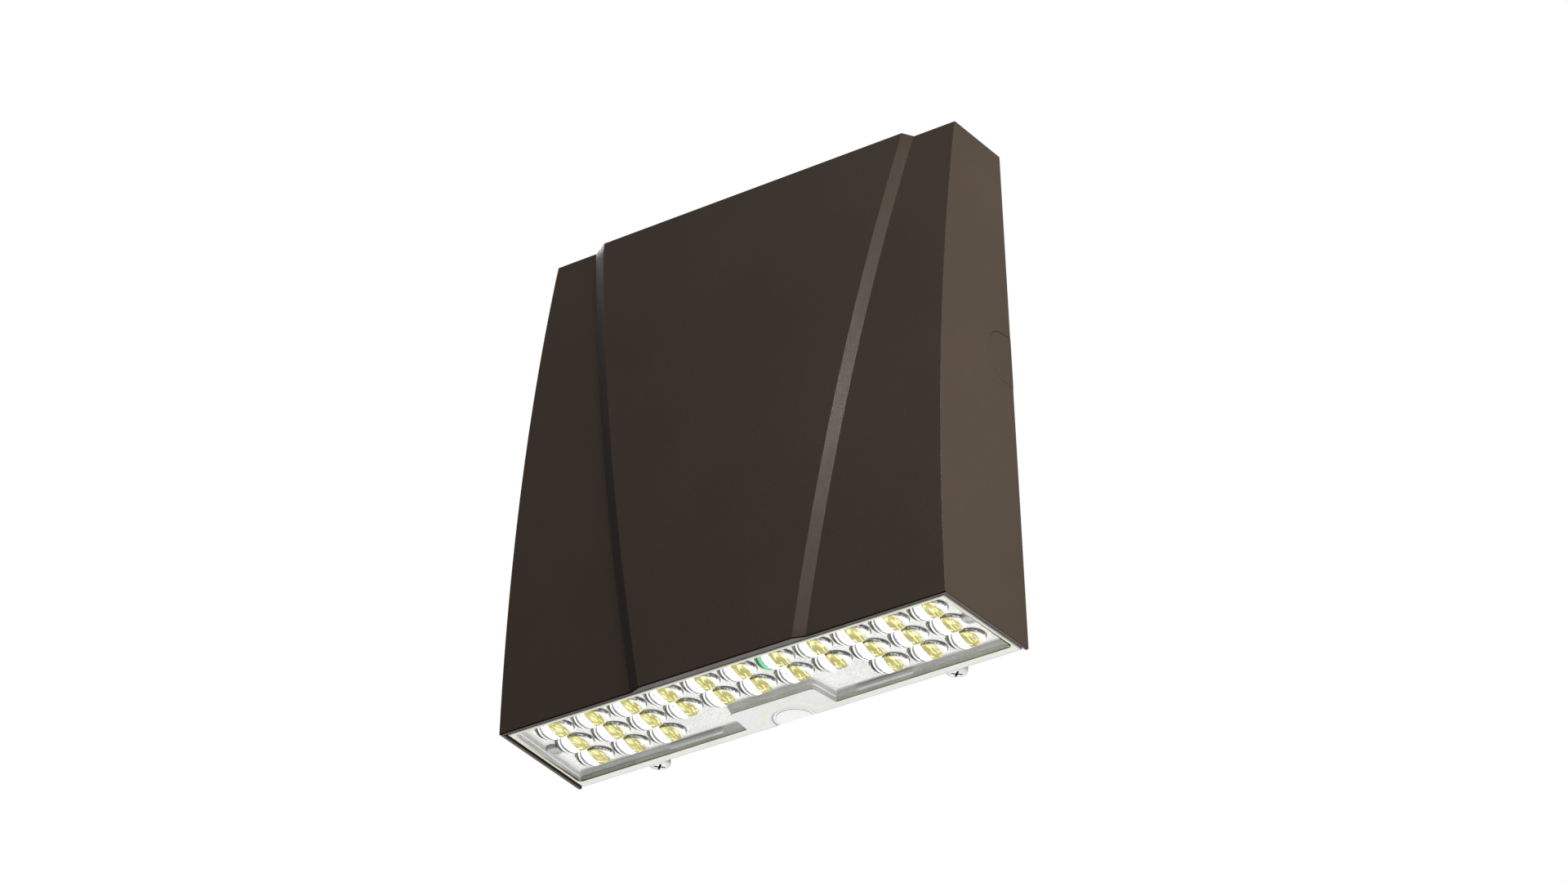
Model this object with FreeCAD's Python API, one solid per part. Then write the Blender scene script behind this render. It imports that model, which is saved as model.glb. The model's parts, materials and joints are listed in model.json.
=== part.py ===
import FreeCAD
import Part
import math
import os
from FreeCAD import Vector

# Wall pack light. Millimetres, +Z up, the wall is the plane y = 0 and the light looks towards -Y.
# The pieces are drawn from the hood's bottom rear edge, then moved so that the origin is the centre
# of the junction box on the wall, level with the side conduit hubs.

# hood
hood_height = 280.5
hood_depth = 69.5            # at the bottom edge, from the rear edge to the front
hood_half_width = 130.0      # at the bottom of the rear edge
bow_radius = 1340.0          # the front leans back along an arc that starts upright at the bottom
side_draft = 1.85            # degrees, the sides close in towards the front
side_lean = 1.70             # degrees, the sides close in towards the top
wall = 2.0
top_wall = 2.5
corner_chamfer = 0.8
find_within = 0.6            # an edge this near to a named place is the one meant

# raised centre panel, widening upwards and running over the top edge
panel_foot_bottom = 50.0     # half width where the bevel leaves the hood, at the bottom and the top
panel_foot_top = 96.3
panel_bevel = 6.2
panel_rise = 2.3
panel_rise_top = 3.3
panel_sections = 6           # outlines that its surface runs through

# gap behind the hood and height of the wire entries
wall_gap = 12.0              # from the hood's rear edge to the wall
entry_height = 158.5         # above the hood's bottom edge

# optic plate in the open bottom
plate_sink = 0.3             # the plate lies this far inside the bottom edge
plate_gap = 1.2              # between the plate and the hood's walls
plate_rear = 1.0             # in from the hood's rear edge
flange_thickness = 2.6
recess_depth = 5.0
pan_wall = 1.2
window_thickness = 2.0
recess_margin_rear = 6.0     # from the hood's widest half width to the recess, at its rear and front
recess_margin_front = 9.2
recess_margin_depth = 6.1    # from the hood's front
recess_rear = 7.4
recess_corner = 3.0
recess_step = 1.0
recess_step_depth = 2.4
tab_half_rear = 27.3
tab_half_front = 25.0
tab_front = 25.0
tab_corner = 3.5
optic_end_margin = 13.8      # from the recess to the last optic of a row
optic_front_margin = 10.9
optic_columns = 11
optic_rows = 3
optic_first_row = 18.9       # from the hood's rear edge to the row nearest to the wall
optic_rear_row_each_side = 3
lobe_radius = 7.4            # each optic is two lobes side by side, faceted
lobe_shift = 2.4
lobe_shoulder = 0.78         # the shoulder's radius, as a share of the foot's
lobe_crown = 0.36
lobe_shoulder_share = 0.62   # of the lobe's height
lobe_facet_count = 8
post_radius = 4.0
post_length = 2.5
post_margin = 1.4            # from the recess to the post's middle
post_y = 35.5

# light engine above the optic plate
seal_width = 1.1
seal_height = 0.7
seal_inset = 0.3
seal_round = 3.4             # out from the bottom conduit notch
pan_clearance = 0.4
chip_size = 3.4
chip_height = 0.7
chip_clearance = 0.3
board_thickness = 1.6
board_margin = 1.2
shelf_thickness = 3.0
board_screw_head = 2.6
board_screw_head_height = 0.7
board_screw_columns = (-4.5, -1.5, 1.5, 4.5)

# surface conduit entries
hub_bore_radius = 10.3
hub_radius = 13.0
hub_length = 10.0
hub_off_wall = 18.8          # conduit centre from the wall
side_notch_radius = 14.0
side_notch_flare = 14.8      # half height of the notch at the hood's rear edge
bottom_notch_radius = 10.8
bottom_notch_in = 3.2        # conduit centre in from the hood's rear edge
cover_gap = 0.25
cover_lip = 2.0
cover_lip_thickness = 1.5
cover_face_radius = 9.3
plug_length = 7.0
plug_socket = 4.0
plug_socket_depth = 4.9
hex_count = 6
plug_clearance = 0.04

# back box
box_inset = 10.0             # in from the hood's outer side
box_wall = 2.5
box_plate = 3.0
box_front = 20.0             # reach into the hood
box_bottom = 14.8
box_lip_bottom = 10.1        # behind the hood the box reaches lower
box_lip_front = 0.5          # behind the hood's rear edge
box_below_top = 28.5         # the box ends this far under the hood's top
wire_entry_radius = 11.1
junction_spacing = 88.9
gang_spacing = 83.3
junction_hole = 2.6
wall_screw_hole = 3.2
wall_screw_side = 40.0       # in from the hood's half width
wall_screw_end = 13.5        # from the box's top
gasket_half = 62.0
gasket_band = 8.0
gasket_thickness = 1.5
rivet_head = 3.4
rivet_head_height = 1.6
rivet_boss = 5.0
rivet_bite = 1.5             # the bosses run this far into the frame's walls
rivet_boss_length = 8.0

# hinge at the top
hinge_in = 12.0              # axis in from the hood's rear edge
hinge_below_top = 11.5
hinge_side = 50.0            # in from the hood's half width
pin_radius = 3.0
pin_clearance = 0.05
lug_thickness = 6.0
lug_radius = 6.0
ear_thickness = 4.0
ear_radius = 6.5
ear_gap = 0.4
pin_head_radius = 4.6
pin_head = 1.5
clip_radius = 5.0
clip_thickness = 0.8
clip_mouth = 1.6             # half height of the opening that slides over the pin
pin_past_clip = 1.0

# latch screws under the box
latch_side = 44.0            # in from the hood's half width
latch_behind = 6.3           # behind the hood's rear edge
latch_radius = 2.5
latch_head_radius = 5.5
latch_head_height = 3.8
latch_chamfer = 1.4
head_facet_count = 16
latch_gap = 0.3              # between the head and the tongue
latch_engagement = 11.0
latch_recess = 1.6
latch_tip_gap = 0.5
recess_arm = 2.8             # half length and half width of the driver recess's arms
recess_blade = 0.5
boss_radius = 6.0
tongue_thickness = 2.6
tongue_drop = 0.5            # below the box
tongue_half = 8.0
tongue_reach = 10.0
tongue_ramp = 0.7
slot_clearance = 0.35

# driver, surge protector and wiring pieces
driver_length = 150.0
driver_height = 58.0
driver_depth = 31.0
driver_bottom = 38.0
driver_front = 10.5          # mounting plane in from the hood's front
case_chamfer = 1.5
foot_length = 14.0
foot_thickness = 2.0
foot_height = 24.0
surge_length = 62.0
surge_height = 30.0
surge_depth = 22.0
surge_bottom = 112.0
surge_front = 15.5
seat_boss_radius = 4.5
fixing_head = 3.8
fixing_head_height = 2.4
terminal_length = 42.0
terminal_height = 18.0
terminal_depth = 16.0
terminal_x = -50.0
terminal_bottom = 40.0
terminal_ways = 3
terminal_port = 4.0          # each wire port is square, with a release slot of that width in front
ground_x = 50.0
ground_height = 52.0
ground_radius = 2.4
ground_head_radius = 4.6
ground_head_height = 2.8
shelf_hole_column = 2        # columns from the middle, in the rear row, where no optic stands
shelf_hole_radius = 6.0
vent_cap_radius = 9.0
vent_cap_height = 1.2
grommet_bore = 2.5
grommet_rim = 8.0
rim_facet_count = 12

box_top = hood_height - box_below_top
hinge_height = hood_height - hinge_below_top
hinge_x = hood_half_width - hinge_side
latch_x = hood_half_width - latch_side
wall_screw_x = hood_half_width - wall_screw_side
wall_screw_z = box_top - wall_screw_end - entry_height
driver_seat = hood_depth - driver_front
surge_seat = hood_depth - surge_front
recess_half_rear = hood_half_width - recess_margin_rear
recess_half_front = hood_half_width - recess_margin_front
recess_front = hood_depth - recess_margin_depth
post_x = recess_half_front - post_margin
optic_pitch_x = 2 * (recess_half_front - optic_end_margin) / (optic_columns - 1)
optic_pitch_y = (recess_front - optic_front_margin - optic_first_row) / (optic_rows - 1)
plate_low = plate_sink
flange_top = plate_low + flange_thickness
sill = flange_top + seal_height
window_low = plate_low + recess_depth
window_top = window_low + window_thickness
board_low = window_top + chip_clearance + chip_height
board_top = board_low + board_thickness
shelf_low = board_top
shelf_top = shelf_low + shelf_thickness
bow_centre = bow_radius - hood_depth
tongue_top = box_lip_bottom - tongue_drop
tongue_low = tongue_top - tongue_thickness
hub_y = wall_gap - hub_off_wall
plate_face = wall_gap - box_plate
X = Vector(1, 0, 0)
Y = Vector(0, 1, 0)
Z = Vector(0, 0, 1)


def block(x0, x1, y0, y1, z0, z1):
    return Part.makeBox(x1 - x0, y1 - y0, z1 - z0, Vector(x0, y0, z0))


def rod(radius, start, axis, length):
    return Part.makeCylinder(radius, length, Vector(*start), axis)


def ring(radius, centre, across, other, sides):
    corners = []
    for index in range(sides):
        turn = 2 * math.pi * (index + 0.5) / sides
        corners.append(centre + (across * math.cos(turn) + other * math.sin(turn)) * radius)
    return corners


def faceted(radius, start, axis, length, sides=8):
    across = Z if axis.z == 0 else X
    corners = ring(radius, Vector(*start), across, axis.cross(across), sides)
    return prism(corners, axis * length)


def flat_face(corners):
    return Part.Face(Part.makePolygon(corners + corners[:1]))


def prism(points, travel):
    return flat_face([Vector(*point) for point in points]).extrude(travel)


def stacked(sections):
    # a flat-sided solid through outlines with the same number of corners
    faces = [flat_face(sections[0]), flat_face(sections[-1])]
    for lower, upper in zip(sections, sections[1:]):
        for index, corner in enumerate(lower):
            after = (index + 1) % len(lower)
            faces.append(flat_face([corner, lower[after], upper[after], upper[index]]))
    solid = Part.Solid(Part.makeShell(faces))
    if solid.Volume < 0:
        solid.reverse()
    return solid


def joined(first, *others):
    return first.fuse(list(others)).removeSplitter()


def both_sides(shape):
    return [shape, shape.mirror(Vector(0, 0, 0), X)]


def save(name, shape):
    placed = shape.copy()
    placed.translate(Vector(0, -wall_gap, -entry_height))
    placed.exportStep(os.path.join("parts", name + ".step"))
    print(name, len(placed.Solids), "solids", round(placed.Volume, 1), "mm3", placed.isValid())


# ---- hood surfaces, which the inner pieces share ----

def front_y(z, rise=0.0):
    return bow_centre - math.sqrt((bow_radius + rise) ** 2 - z ** 2)


def half_width(y, z, inset=0.0):
    closing = -y * math.tan(math.radians(side_draft)) + z * math.tan(math.radians(side_lean))
    return hood_half_width - closing - inset


def between_sides(inset, y_rear, y_front, z_low, z_high):
    ends = []
    for y in (y_rear, y_front):
        low = half_width(y, z_low, inset)
        high = half_width(y, z_high, inset)
        corners = [(-low, y, z_low), (low, y, z_low), (high, y, z_high), (-high, y, z_high)]
        ends.append([Vector(*corner) for corner in corners])
    return stacked(ends)


def behind_front(rise, y_rear, z_low, z_high):
    low = Vector(0, front_y(z_low, rise), z_low)
    middle_z = (z_low + z_high) / 2
    middle = Vector(0, front_y(middle_z, rise), middle_z)
    high = Vector(0, front_y(z_high, rise), z_high)
    rear_high = Vector(0, y_rear, z_high)
    rear_low = Vector(0, y_rear, z_low)
    bow = Part.Arc(low, middle, high).toShape()
    rest = Part.makePolygon([high, rear_high, rear_low, low]).Edges
    face = Part.Face(Part.Wire([bow] + rest))
    face.translate(Vector(-2 * hood_half_width, 0, 0))
    return face.extrude(Vector(4 * hood_half_width, 0, 0))


def panel_foot(z):
    return panel_foot_bottom + (panel_foot_top - panel_foot_bottom) * z / hood_height


def raised_front():
    above = 2 * panel_rise_top
    sections = []
    for index in range(panel_sections + 1):
        z = (hood_height + above) * index / panel_sections
        foot = panel_foot(z)
        crest = foot - panel_bevel
        skin = front_y(z)
        face = front_y(z, panel_rise)
        right = [Vector(foot, skin + wall / 2, z), Vector(foot, skin, z), Vector(crest, face, z)]
        left = [Vector(-point.x, point.y, point.z) for point in reversed(right)]
        sections.append(Part.makePolygon(right + left + right[:1]))
    return Part.makeLoft(sections, True, False)


def raised_top():
    crest = panel_foot_top - panel_bevel
    high = hood_height + panel_rise_top
    low = hood_height - top_wall / 2
    start = -hood_depth
    outline = [(-panel_foot_top, start, low), (panel_foot_top, start, low),
               (panel_foot_top, start, hood_height), (crest, start, high),
               (-crest, start, high), (-panel_foot_top, start, hood_height)]
    return prism(outline, Vector(0, hood_depth, 0))


def hood_outside():
    reach = hood_height + 2 * panel_rise_top
    front = joined(behind_front(0, 0, 0, reach), raised_front())
    wide = 2 * hood_half_width
    top = joined(block(-wide, wide, -2 * hood_depth, 0, 0, hood_height), raised_top())
    sides = between_sides(0, 0, -2 * hood_depth, 0, reach)
    solid = front.common(top).common(sides).removeSplitter()
    corners = [edge for edge in solid.Edges if is_front_corner(edge)]
    return solid.makeChamfer(corner_chamfer, corners)


def is_front_corner(edge):
    tall = edge.BoundBox.ZLength > hood_height / 2
    middle = edge.CenterOfMass
    on_side = abs(abs(middle.x) - half_width(middle.y, middle.z)) < find_within
    return tall and on_side and middle.y < -wall


def hood_inside():
    ceiling = hood_height - top_wall
    front = behind_front(-wall, wall, -wall, ceiling)
    return front.common(between_sides(wall, wall, -2 * hood_depth, -wall, ceiling))


# ---- outlines of the optic plate and what follows it ----

def trapezium(half_rear, rear, half_front, front, low, high):
    corners = [(-half_rear, rear), (half_rear, rear), (half_front, front), (-half_front, front)]
    return prism([(x, y, low) for x, y in corners], Vector(0, 0, high - low))


def rounded(solid, radius, spots):
    # rounds the upright edges that stand at the given places, on both sides
    chosen = []
    for edge in solid.Edges:
        middle = edge.CenterOfMass
        near = [spot for spot in spots if math.dist(spot, (abs(middle.x), middle.y)) < find_within]
        if near and edge.BoundBox.ZLength > find_within:
            chosen.append(edge)
    return solid.makeFillet(radius, chosen)


def recess(grow, low, high):
    rear = -recess_rear + grow
    front = -recess_front - grow
    wide_rear = recess_half_rear + grow
    wide_front = recess_half_front + grow
    space = trapezium(wide_rear, rear, wide_front, front, low, high)
    corners = [(wide_rear, rear), (wide_front, front)]
    return rounded(space, recess_corner + max(grow, 0), corners).cut(tab(-grow, low, high))


def tab(grow, low, high):
    front = -tab_front - grow
    half_rear = tab_half_rear + grow
    half_front = tab_half_front + grow
    solid = trapezium(half_rear, 0, half_front, front, low, high)
    return rounded(solid, tab_corner + grow, [(half_front, front)])


def bottom_outline(gap, rear, low, high):
    inset = wall + gap
    front = front_y(0) + inset
    return trapezium(half_width(-rear, 0, inset), -rear, half_width(front, 0, inset), front, low, high)


def bottom_notch(radius, low, high):
    return joined(rod(radius, (0, -bottom_notch_in, low), Z, high - low),
                  block(-radius, radius, -bottom_notch_in, wall_gap, low, high))


def optic_places():
    places = []
    for row in range(optic_rows):
        for column in range(optic_columns):
            from_end = min(column, optic_columns - 1 - column)
            if row == 0 and from_end >= optic_rear_row_each_side:
                continue
            x = (column - (optic_columns - 1) / 2) * optic_pitch_x
            places.append((x, -optic_first_row - row * optic_pitch_y))
    return places


def oval(x, y, size, z):
    # the outline of two lobes side by side
    middle = x + lobe_shift
    corners = ring(size, Vector(middle, y, z), X, Y, lobe_facet_count)
    right = sorted([corner for corner in corners if corner.x > middle], key=lambda corner: corner.y)
    return right + [Vector(2 * x - corner.x, corner.y, z) for corner in reversed(right)]


def optic(x, y):
    shoulder = window_low - (window_low - plate_low) * lobe_shoulder_share
    root = window_low + window_thickness / 2
    levels = [(1, root), (1, window_low), (lobe_shoulder, shoulder), (lobe_crown, plate_low)]
    return stacked([oval(x, y, lobe_radius * share, z) for share, z in levels])


def optic_plate():
    flange = bottom_outline(plate_gap, plate_rear, plate_low, flange_top)
    pan = recess(pan_wall, plate_low, window_top)
    body = joined(flange, pan)
    body = body.cut(recess(0, plate_low - 1, window_low))
    body = body.cut(recess(recess_step, plate_low - 1, plate_low + recess_step_depth))
    body = body.cut(bottom_notch(bottom_notch_radius, plate_low - 1, window_top + 1))
    post = rod(post_radius, (post_x, -post_y, window_low - post_length), Z, post_length + 1)
    return joined(body, *both_sides(post), *[optic(x, y) for x, y in optic_places()])


def sealed_area(inset):
    rear = recess_rear - pan_wall - seal_width - seal_inset + inset
    area = bottom_outline(plate_gap + inset, rear, flange_top, sill)
    notch = bottom_notch_radius + seal_round + inset
    return area.cut(rod(notch, (0, -bottom_notch_in, flange_top), Z, seal_height))


def optic_seal():
    return sealed_area(seal_inset).cut(sealed_area(seal_inset + seal_width))



# ---- light engine ----

def front_housing():
    whole = hood_outside()
    shell = whole.cut(hood_inside())
    wide = hood_half_width
    bottom = hood_inside().common(block(-wide, wide, -2 * hood_depth, 0, sill, shelf_top))
    chamber = recess(pan_wall + pan_clearance, sill - 1, shelf_low)
    bottom = bottom.cut(chamber).cut(bottom_notch(bottom_notch_radius, 0, shelf_top + 1))
    seats = []
    for x in (driver_screw_x(), -driver_screw_x()):
        seats.append(faceted(seat_boss_radius, (x, -driver_seat, driver_screw_z()), -Y, hood_depth))
    for x in (surge_screw_x(), -surge_screw_x()):
        seats.append(faceted(seat_boss_radius, (x, -surge_seat, surge_screw_z()), -Y, hood_depth))
    seats = [seat.common(whole) for seat in seats]
    solid = joined(shell, bottom, *seats, *both_sides(hinge_lug()), *both_sides(latch_tongue()))
    hole = shelf_plug(1, shelf_hole_radius + plug_clearance, shelf_low - 1, shelf_top + 1)
    return solid.cut(joined(*both_sides(hole), side_notch(-1, 0), side_notch(1, 0))).removeSplitter()


def hinge_lug():
    left = hinge_x - lug_thickness / 2
    right = hinge_x + lug_thickness / 2
    low = -hinge_in - lug_radius
    web = block(left, right, low, low + 2 * lug_radius, hinge_height, hood_height - top_wall / 2)
    lug = joined(web, rod(lug_radius, (left, -hinge_in, hinge_height), X, lug_thickness))
    return lug.cut(rod(pin_radius + pin_clearance, (left, -hinge_in, hinge_height), X, lug_thickness))


def latch_tongue():
    # open to the rear, so that it slides off the loosened screw, with a ramp that clears the screw's head
    outline = [(-wall, tongue_low), (latch_behind - latch_radius, tongue_low),
               (tongue_reach, tongue_low + tongue_ramp), (tongue_reach, tongue_top), (-wall, tongue_top)]
    corners = [(latch_x - tongue_half, y, z) for y, z in outline]
    tongue = prism(corners, Vector(2 * tongue_half, 0, 0))
    slot = latch_radius + slot_clearance
    low = tongue_low - 1
    high = tongue_top + 1
    end = rod(slot, (latch_x, latch_behind, low), Z, high - low)
    mouth = block(latch_x - slot, latch_x + slot, latch_behind, 2 * tongue_reach, low, high)
    return tongue.cut(joined(end, mouth))


def led_board():
    return recess(-board_margin, board_low, board_top)


def board_screw_places():
    middle = -recess_front + optic_front_margin + optic_pitch_y / 2
    return [(column * optic_pitch_x, middle) for column in board_screw_columns]


def board_screws():
    screws = []
    for x, y in board_screw_places():
        start = (x, y, board_low - board_screw_head_height)
        screws.append(faceted(board_screw_head, start, Z, board_screw_head_height))
    return Part.makeCompound(screws)


def led_packages():
    half = chip_size / 2
    low = board_low - chip_height
    return Part.makeCompound([block(x - half, x + half, y - half, y + half, low, board_low)
                              for x, y in optic_places()])


def shelf_plug(side, radius, low, high):
    return rod(radius, (side * shelf_hole_column * optic_pitch_x, -optic_first_row, low), Z, high - low)


def shelf_rim(side, radius, height):
    start = (side * shelf_hole_column * optic_pitch_x, -optic_first_row, shelf_top)
    return faceted(radius, start, Z, height, rim_facet_count)


def vent_plug():
    cap = shelf_rim(1, vent_cap_radius, vent_cap_height)
    return joined(cap, shelf_plug(1, shelf_hole_radius, shelf_low, shelf_top))


def lead_grommet():
    rim = shelf_rim(-1, grommet_rim, vent_cap_height / 2)
    stem = shelf_plug(-1, shelf_hole_radius, shelf_low, shelf_top)
    return joined(rim, stem).cut(shelf_plug(-1, grommet_bore, shelf_low - 1, shelf_top + vent_cap_height))


# ---- driver and surge protector, screwed to bosses on the inside of the front ----

def driver_screw_x():
    return driver_length / 2 + foot_length / 2


def driver_screw_z():
    return driver_bottom + driver_height / 2


def surge_screw_x():
    return surge_length / 2 + foot_length / 2


def surge_screw_z():
    return surge_bottom + surge_height / 2


def fixing_places():
    places = []
    for side in (-1, 1):
        places.append((side * driver_screw_x(), -driver_seat, driver_screw_z()))
        places.append((side * surge_screw_x(), -surge_seat, surge_screw_z()))
    return places


def footed_case(length, height, depth, bottom, seat):
    case = block(-length / 2, length / 2, -seat, -seat + depth, bottom, bottom + height)
    long_edges = [edge for edge in case.Edges if edge.BoundBox.XLength > length / 2]
    case = case.makeChamfer(case_chamfer, [edge for edge in long_edges if edge.CenterOfMass.y > -seat])
    middle = bottom + height / 2
    reach = length / 2 + foot_length
    half = foot_height / 2
    feet = block(-reach, reach, -seat, -seat + foot_thickness, middle - half, middle + half)
    return joined(case, feet)


def driver():
    return footed_case(driver_length, driver_height, driver_depth, driver_bottom, driver_seat)


def surge_protector():
    return footed_case(surge_length, surge_height, surge_depth, surge_bottom, surge_seat)


def fixing_screws():
    screws = []
    for x, y, z in fixing_places():
        screws.append(faceted(fixing_head, (x, y + foot_thickness, z), Y, fixing_head_height))
    return Part.makeCompound(screws)


# ---- covers over the surface conduit entries of the hood ----

def notch_outline(grow, x0, x1):
    # round towards the front, opening slightly towards the rear edge
    centre_y = hub_y
    radius = side_notch_radius + grow
    flare = side_notch_flare + grow
    across = x1 - x0
    cheek = [(x0, centre_y, entry_height - radius), (x0, wall, entry_height - flare),
             (x0, wall, entry_height + flare), (x0, centre_y, entry_height + radius)]
    return joined(rod(radius, (x0, centre_y, entry_height), X, across), prism(cheek, Vector(across, 0, 0)))


def side_notch(side, grow):
    inner = half_width(-hood_depth, hood_height, 2 * wall)
    outline = notch_outline(grow, inner, hood_half_width + wall)
    return outline if side > 0 else outline.mirror(Vector(0, 0, 0), X)


def skin(inset_out, inset_in):
    inside = between_sides(inset_in, 1, -hood_depth - 1, -1, hood_height + 1)
    return between_sides(inset_out, 0, -hood_depth, 0, hood_height).cut(inside)


def side_entry_cover(side):
    lip_out = wall + cover_gap
    lip_in = lip_out + cover_lip_thickness
    face = side_notch(side, -cover_gap).common(skin(0, lip_in))
    lip = side_notch(side, cover_lip).common(skin(lip_out, lip_in))
    return joined(face, lip)


def bottom_entry_cover():
    body = bottom_notch(bottom_notch_radius - cover_gap, flange_top + cover_gap, tongue_top)
    face = bottom_notch(cover_face_radius, plate_low, tongue_top)
    behind = block(-hood_half_width, hood_half_width, -plate_rear, wall_gap, -1, shelf_top)
    return joined(body, face).cut(behind)


# ---- back box on the wall ----

def box_outside(y_rear, y_front):
    front = between_sides(box_inset, y_rear, min(y_front, box_lip_front), box_bottom, box_top)
    behind = between_sides(box_inset, y_rear, max(y_front, box_lip_front), box_lip_bottom, box_top)
    return joined(front, behind)


def wall_plate():
    plate = between_sides(box_inset, wall_gap, plate_face, box_lip_bottom, box_top)
    return plate.cut(joined(*plate_holes())).removeSplitter()


def box_frame():
    outside = box_outside(plate_face, -box_front)
    low, high = box_bottom + box_wall, box_top - box_wall
    inside = between_sides(box_inset + box_wall, plate_face + 1, -box_front - 1, low, high)
    inner = [shape for boss in (latch_boss(), side_hub()) for shape in both_sides(boss)]
    inner += [faceted(rivet_boss, (x, plate_face, z), -Y, rivet_boss_length) for x, z in rivet_places()]
    inner = [shape.common(outside) for shape in inner + [bottom_hub()]]
    ears = [ear(side * hinge_x + shift) for side in (-1, 1) for shift in ear_shifts()]
    body = joined(outside.cut(inside), *inner, *ears)
    return body.cut(joined(*frame_holes())).removeSplitter()


def rivet_places():
    corner = box_wall + rivet_boss - rivet_bite
    places = []
    for z in (box_bottom + corner, box_top - corner):
        x = half_width(0, z, box_inset + corner)
        places += [(-x, z), (x, z)]
    return places


def plate_rivets():
    rivets = []
    for x, z in rivet_places():
        rivets.append(faceted(rivet_head, (x, plate_face - rivet_boss_length, z), -Y, rivet_head_height))
    return Part.makeCompound(rivets)


def latch_boss():
    return joined(rod(boss_radius, (latch_x, latch_behind, box_lip_bottom), Z, latch_engagement + 2),
                  block(latch_x - boss_radius, latch_x + boss_radius, latch_behind, wall_gap,
                        box_lip_bottom, box_lip_bottom + latch_engagement + 2))


def ear_shifts():
    out = lug_thickness / 2 + ear_gap
    return (-out - ear_thickness, out)


def ear(x):
    front = -hinge_in - ear_radius
    root = box_top - box_wall / 2
    foot = block(x, x + ear_thickness, front, front + 2 * ear_radius, root, hinge_height)
    return joined(foot, rod(ear_radius, (x, -hinge_in, hinge_height), X, ear_thickness))


def side_hub_face():
    return half_width(hub_y, entry_height, box_inset)


def side_hub():
    start = side_hub_face() - hub_length
    return rod(hub_radius, (start, hub_y, entry_height), X, hub_length + 1)


def bottom_hub():
    return rod(hub_radius, (0, -bottom_notch_in, box_bottom), Z, hub_length)


def plate_holes():
    rear = wall_gap + 1
    deep = box_plate + 2
    half = junction_spacing / 2
    gang = gang_spacing / 2
    holes = [rod(wire_entry_radius, (0, rear, entry_height), -Y, deep)]
    for x, z in [(-half, 0), (half, 0), (0, -gang), (0, gang)]:
        holes.append(rod(junction_hole, (x, rear, entry_height + z), -Y, deep))
    for x in (-wall_screw_x, wall_screw_x):
        for z in (-wall_screw_z, wall_screw_z):
            holes.append(rod(wall_screw_hole, (x, rear, entry_height + z), -Y, deep))
    holes.append(rod(ground_radius, (ground_x, rear, ground_height), -Y, deep))
    return holes + [wall_gasket()]


def frame_holes():
    reach = 2 * hood_half_width
    screw_hole = latch_radius + pin_clearance
    holes = both_sides(rod(screw_hole, (latch_x, latch_behind, 0), Z, box_lip_bottom + latch_engagement))
    holes.append(rod(hub_bore_radius, (-hood_half_width, hub_y, entry_height), X, reach))
    holes.append(rod(hub_bore_radius, (0, -bottom_notch_in, 0), Z, box_bottom + hub_length + 1))
    holes.append(rod(pin_radius + pin_clearance, (-hood_half_width, -hinge_in, hinge_height), X, reach))
    return holes


def wall_gasket():
    middle = entry_height
    inner = gasket_half - gasket_band
    front = wall_gap - gasket_thickness
    outer = block(-gasket_half, gasket_half, front, wall_gap, middle - gasket_half, middle + gasket_half)
    return outer.cut(block(-inner, inner, front, wall_gap, middle - inner, middle + inner))


def conduit_plugs():
    side = conduit_plug((side_hub_face(), hub_y, entry_height), X)
    bottom = conduit_plug((0, -bottom_notch_in, box_bottom), -Z)
    return Part.makeCompound(both_sides(side) + [bottom])


def conduit_plug(face, outward):
    stem = rod(hub_bore_radius - plug_clearance, face, -outward, plug_length)
    return stem.cut(faceted(plug_socket, face, -outward, plug_socket_depth, hex_count))


def hinge_span():
    # from the lug's middle to the outer face of an ear
    return lug_thickness / 2 + ear_gap + ear_thickness


def hinge_pins():
    pins = []
    length = 2 * hinge_span() + clip_thickness + pin_past_clip
    for side in (-1, 1):
        start = (side * (hinge_x - hinge_span()), -hinge_in, hinge_height)
        head = faceted(pin_head_radius, start, X * -side, pin_head)
        pins.append(joined(head, rod(pin_radius, start, X * side, length)))
    return Part.makeCompound(pins)


def hinge_clips():
    clips = []
    for side in (-1, 1):
        x = side * (hinge_x + hinge_span())
        start = (x, -hinge_in, hinge_height)
        clip = faceted(clip_radius, start, X * side, clip_thickness)
        clip = clip.cut(rod(pin_radius, start, X * side, clip_thickness))
        mouth = block(x - clip_thickness, x + clip_thickness, -hinge_in - clip_radius, -hinge_in,
                      hinge_height - clip_mouth, hinge_height + clip_mouth)
        clips.append(clip.cut(mouth))
    return Part.makeCompound(clips)


def latch_screw(side):
    x = side * latch_x
    head_low = tongue_low - latch_gap - latch_head_height
    head_top = head_low + latch_head_height
    levels = [(latch_head_radius - latch_chamfer, head_low), (latch_head_radius, head_low + latch_chamfer),
              (latch_head_radius, head_top)]
    head = stacked([ring(radius, Vector(x, latch_behind, z), X, Y, head_facet_count) for radius, z in levels])
    length = box_lip_bottom + latch_engagement - latch_tip_gap - head_top
    solid = joined(head, rod(latch_radius, (x, latch_behind, head_top), Z, length))
    for angle in (45, 135):
        top = head_low + latch_recess
        arm = block(-recess_arm, recess_arm, -recess_blade, recess_blade, head_low - 1, top)
        arm.rotate(Vector(0, 0, 0), Z, angle)
        arm.translate(Vector(x, latch_behind, 0))
        solid = solid.cut(arm)
    return solid


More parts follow.
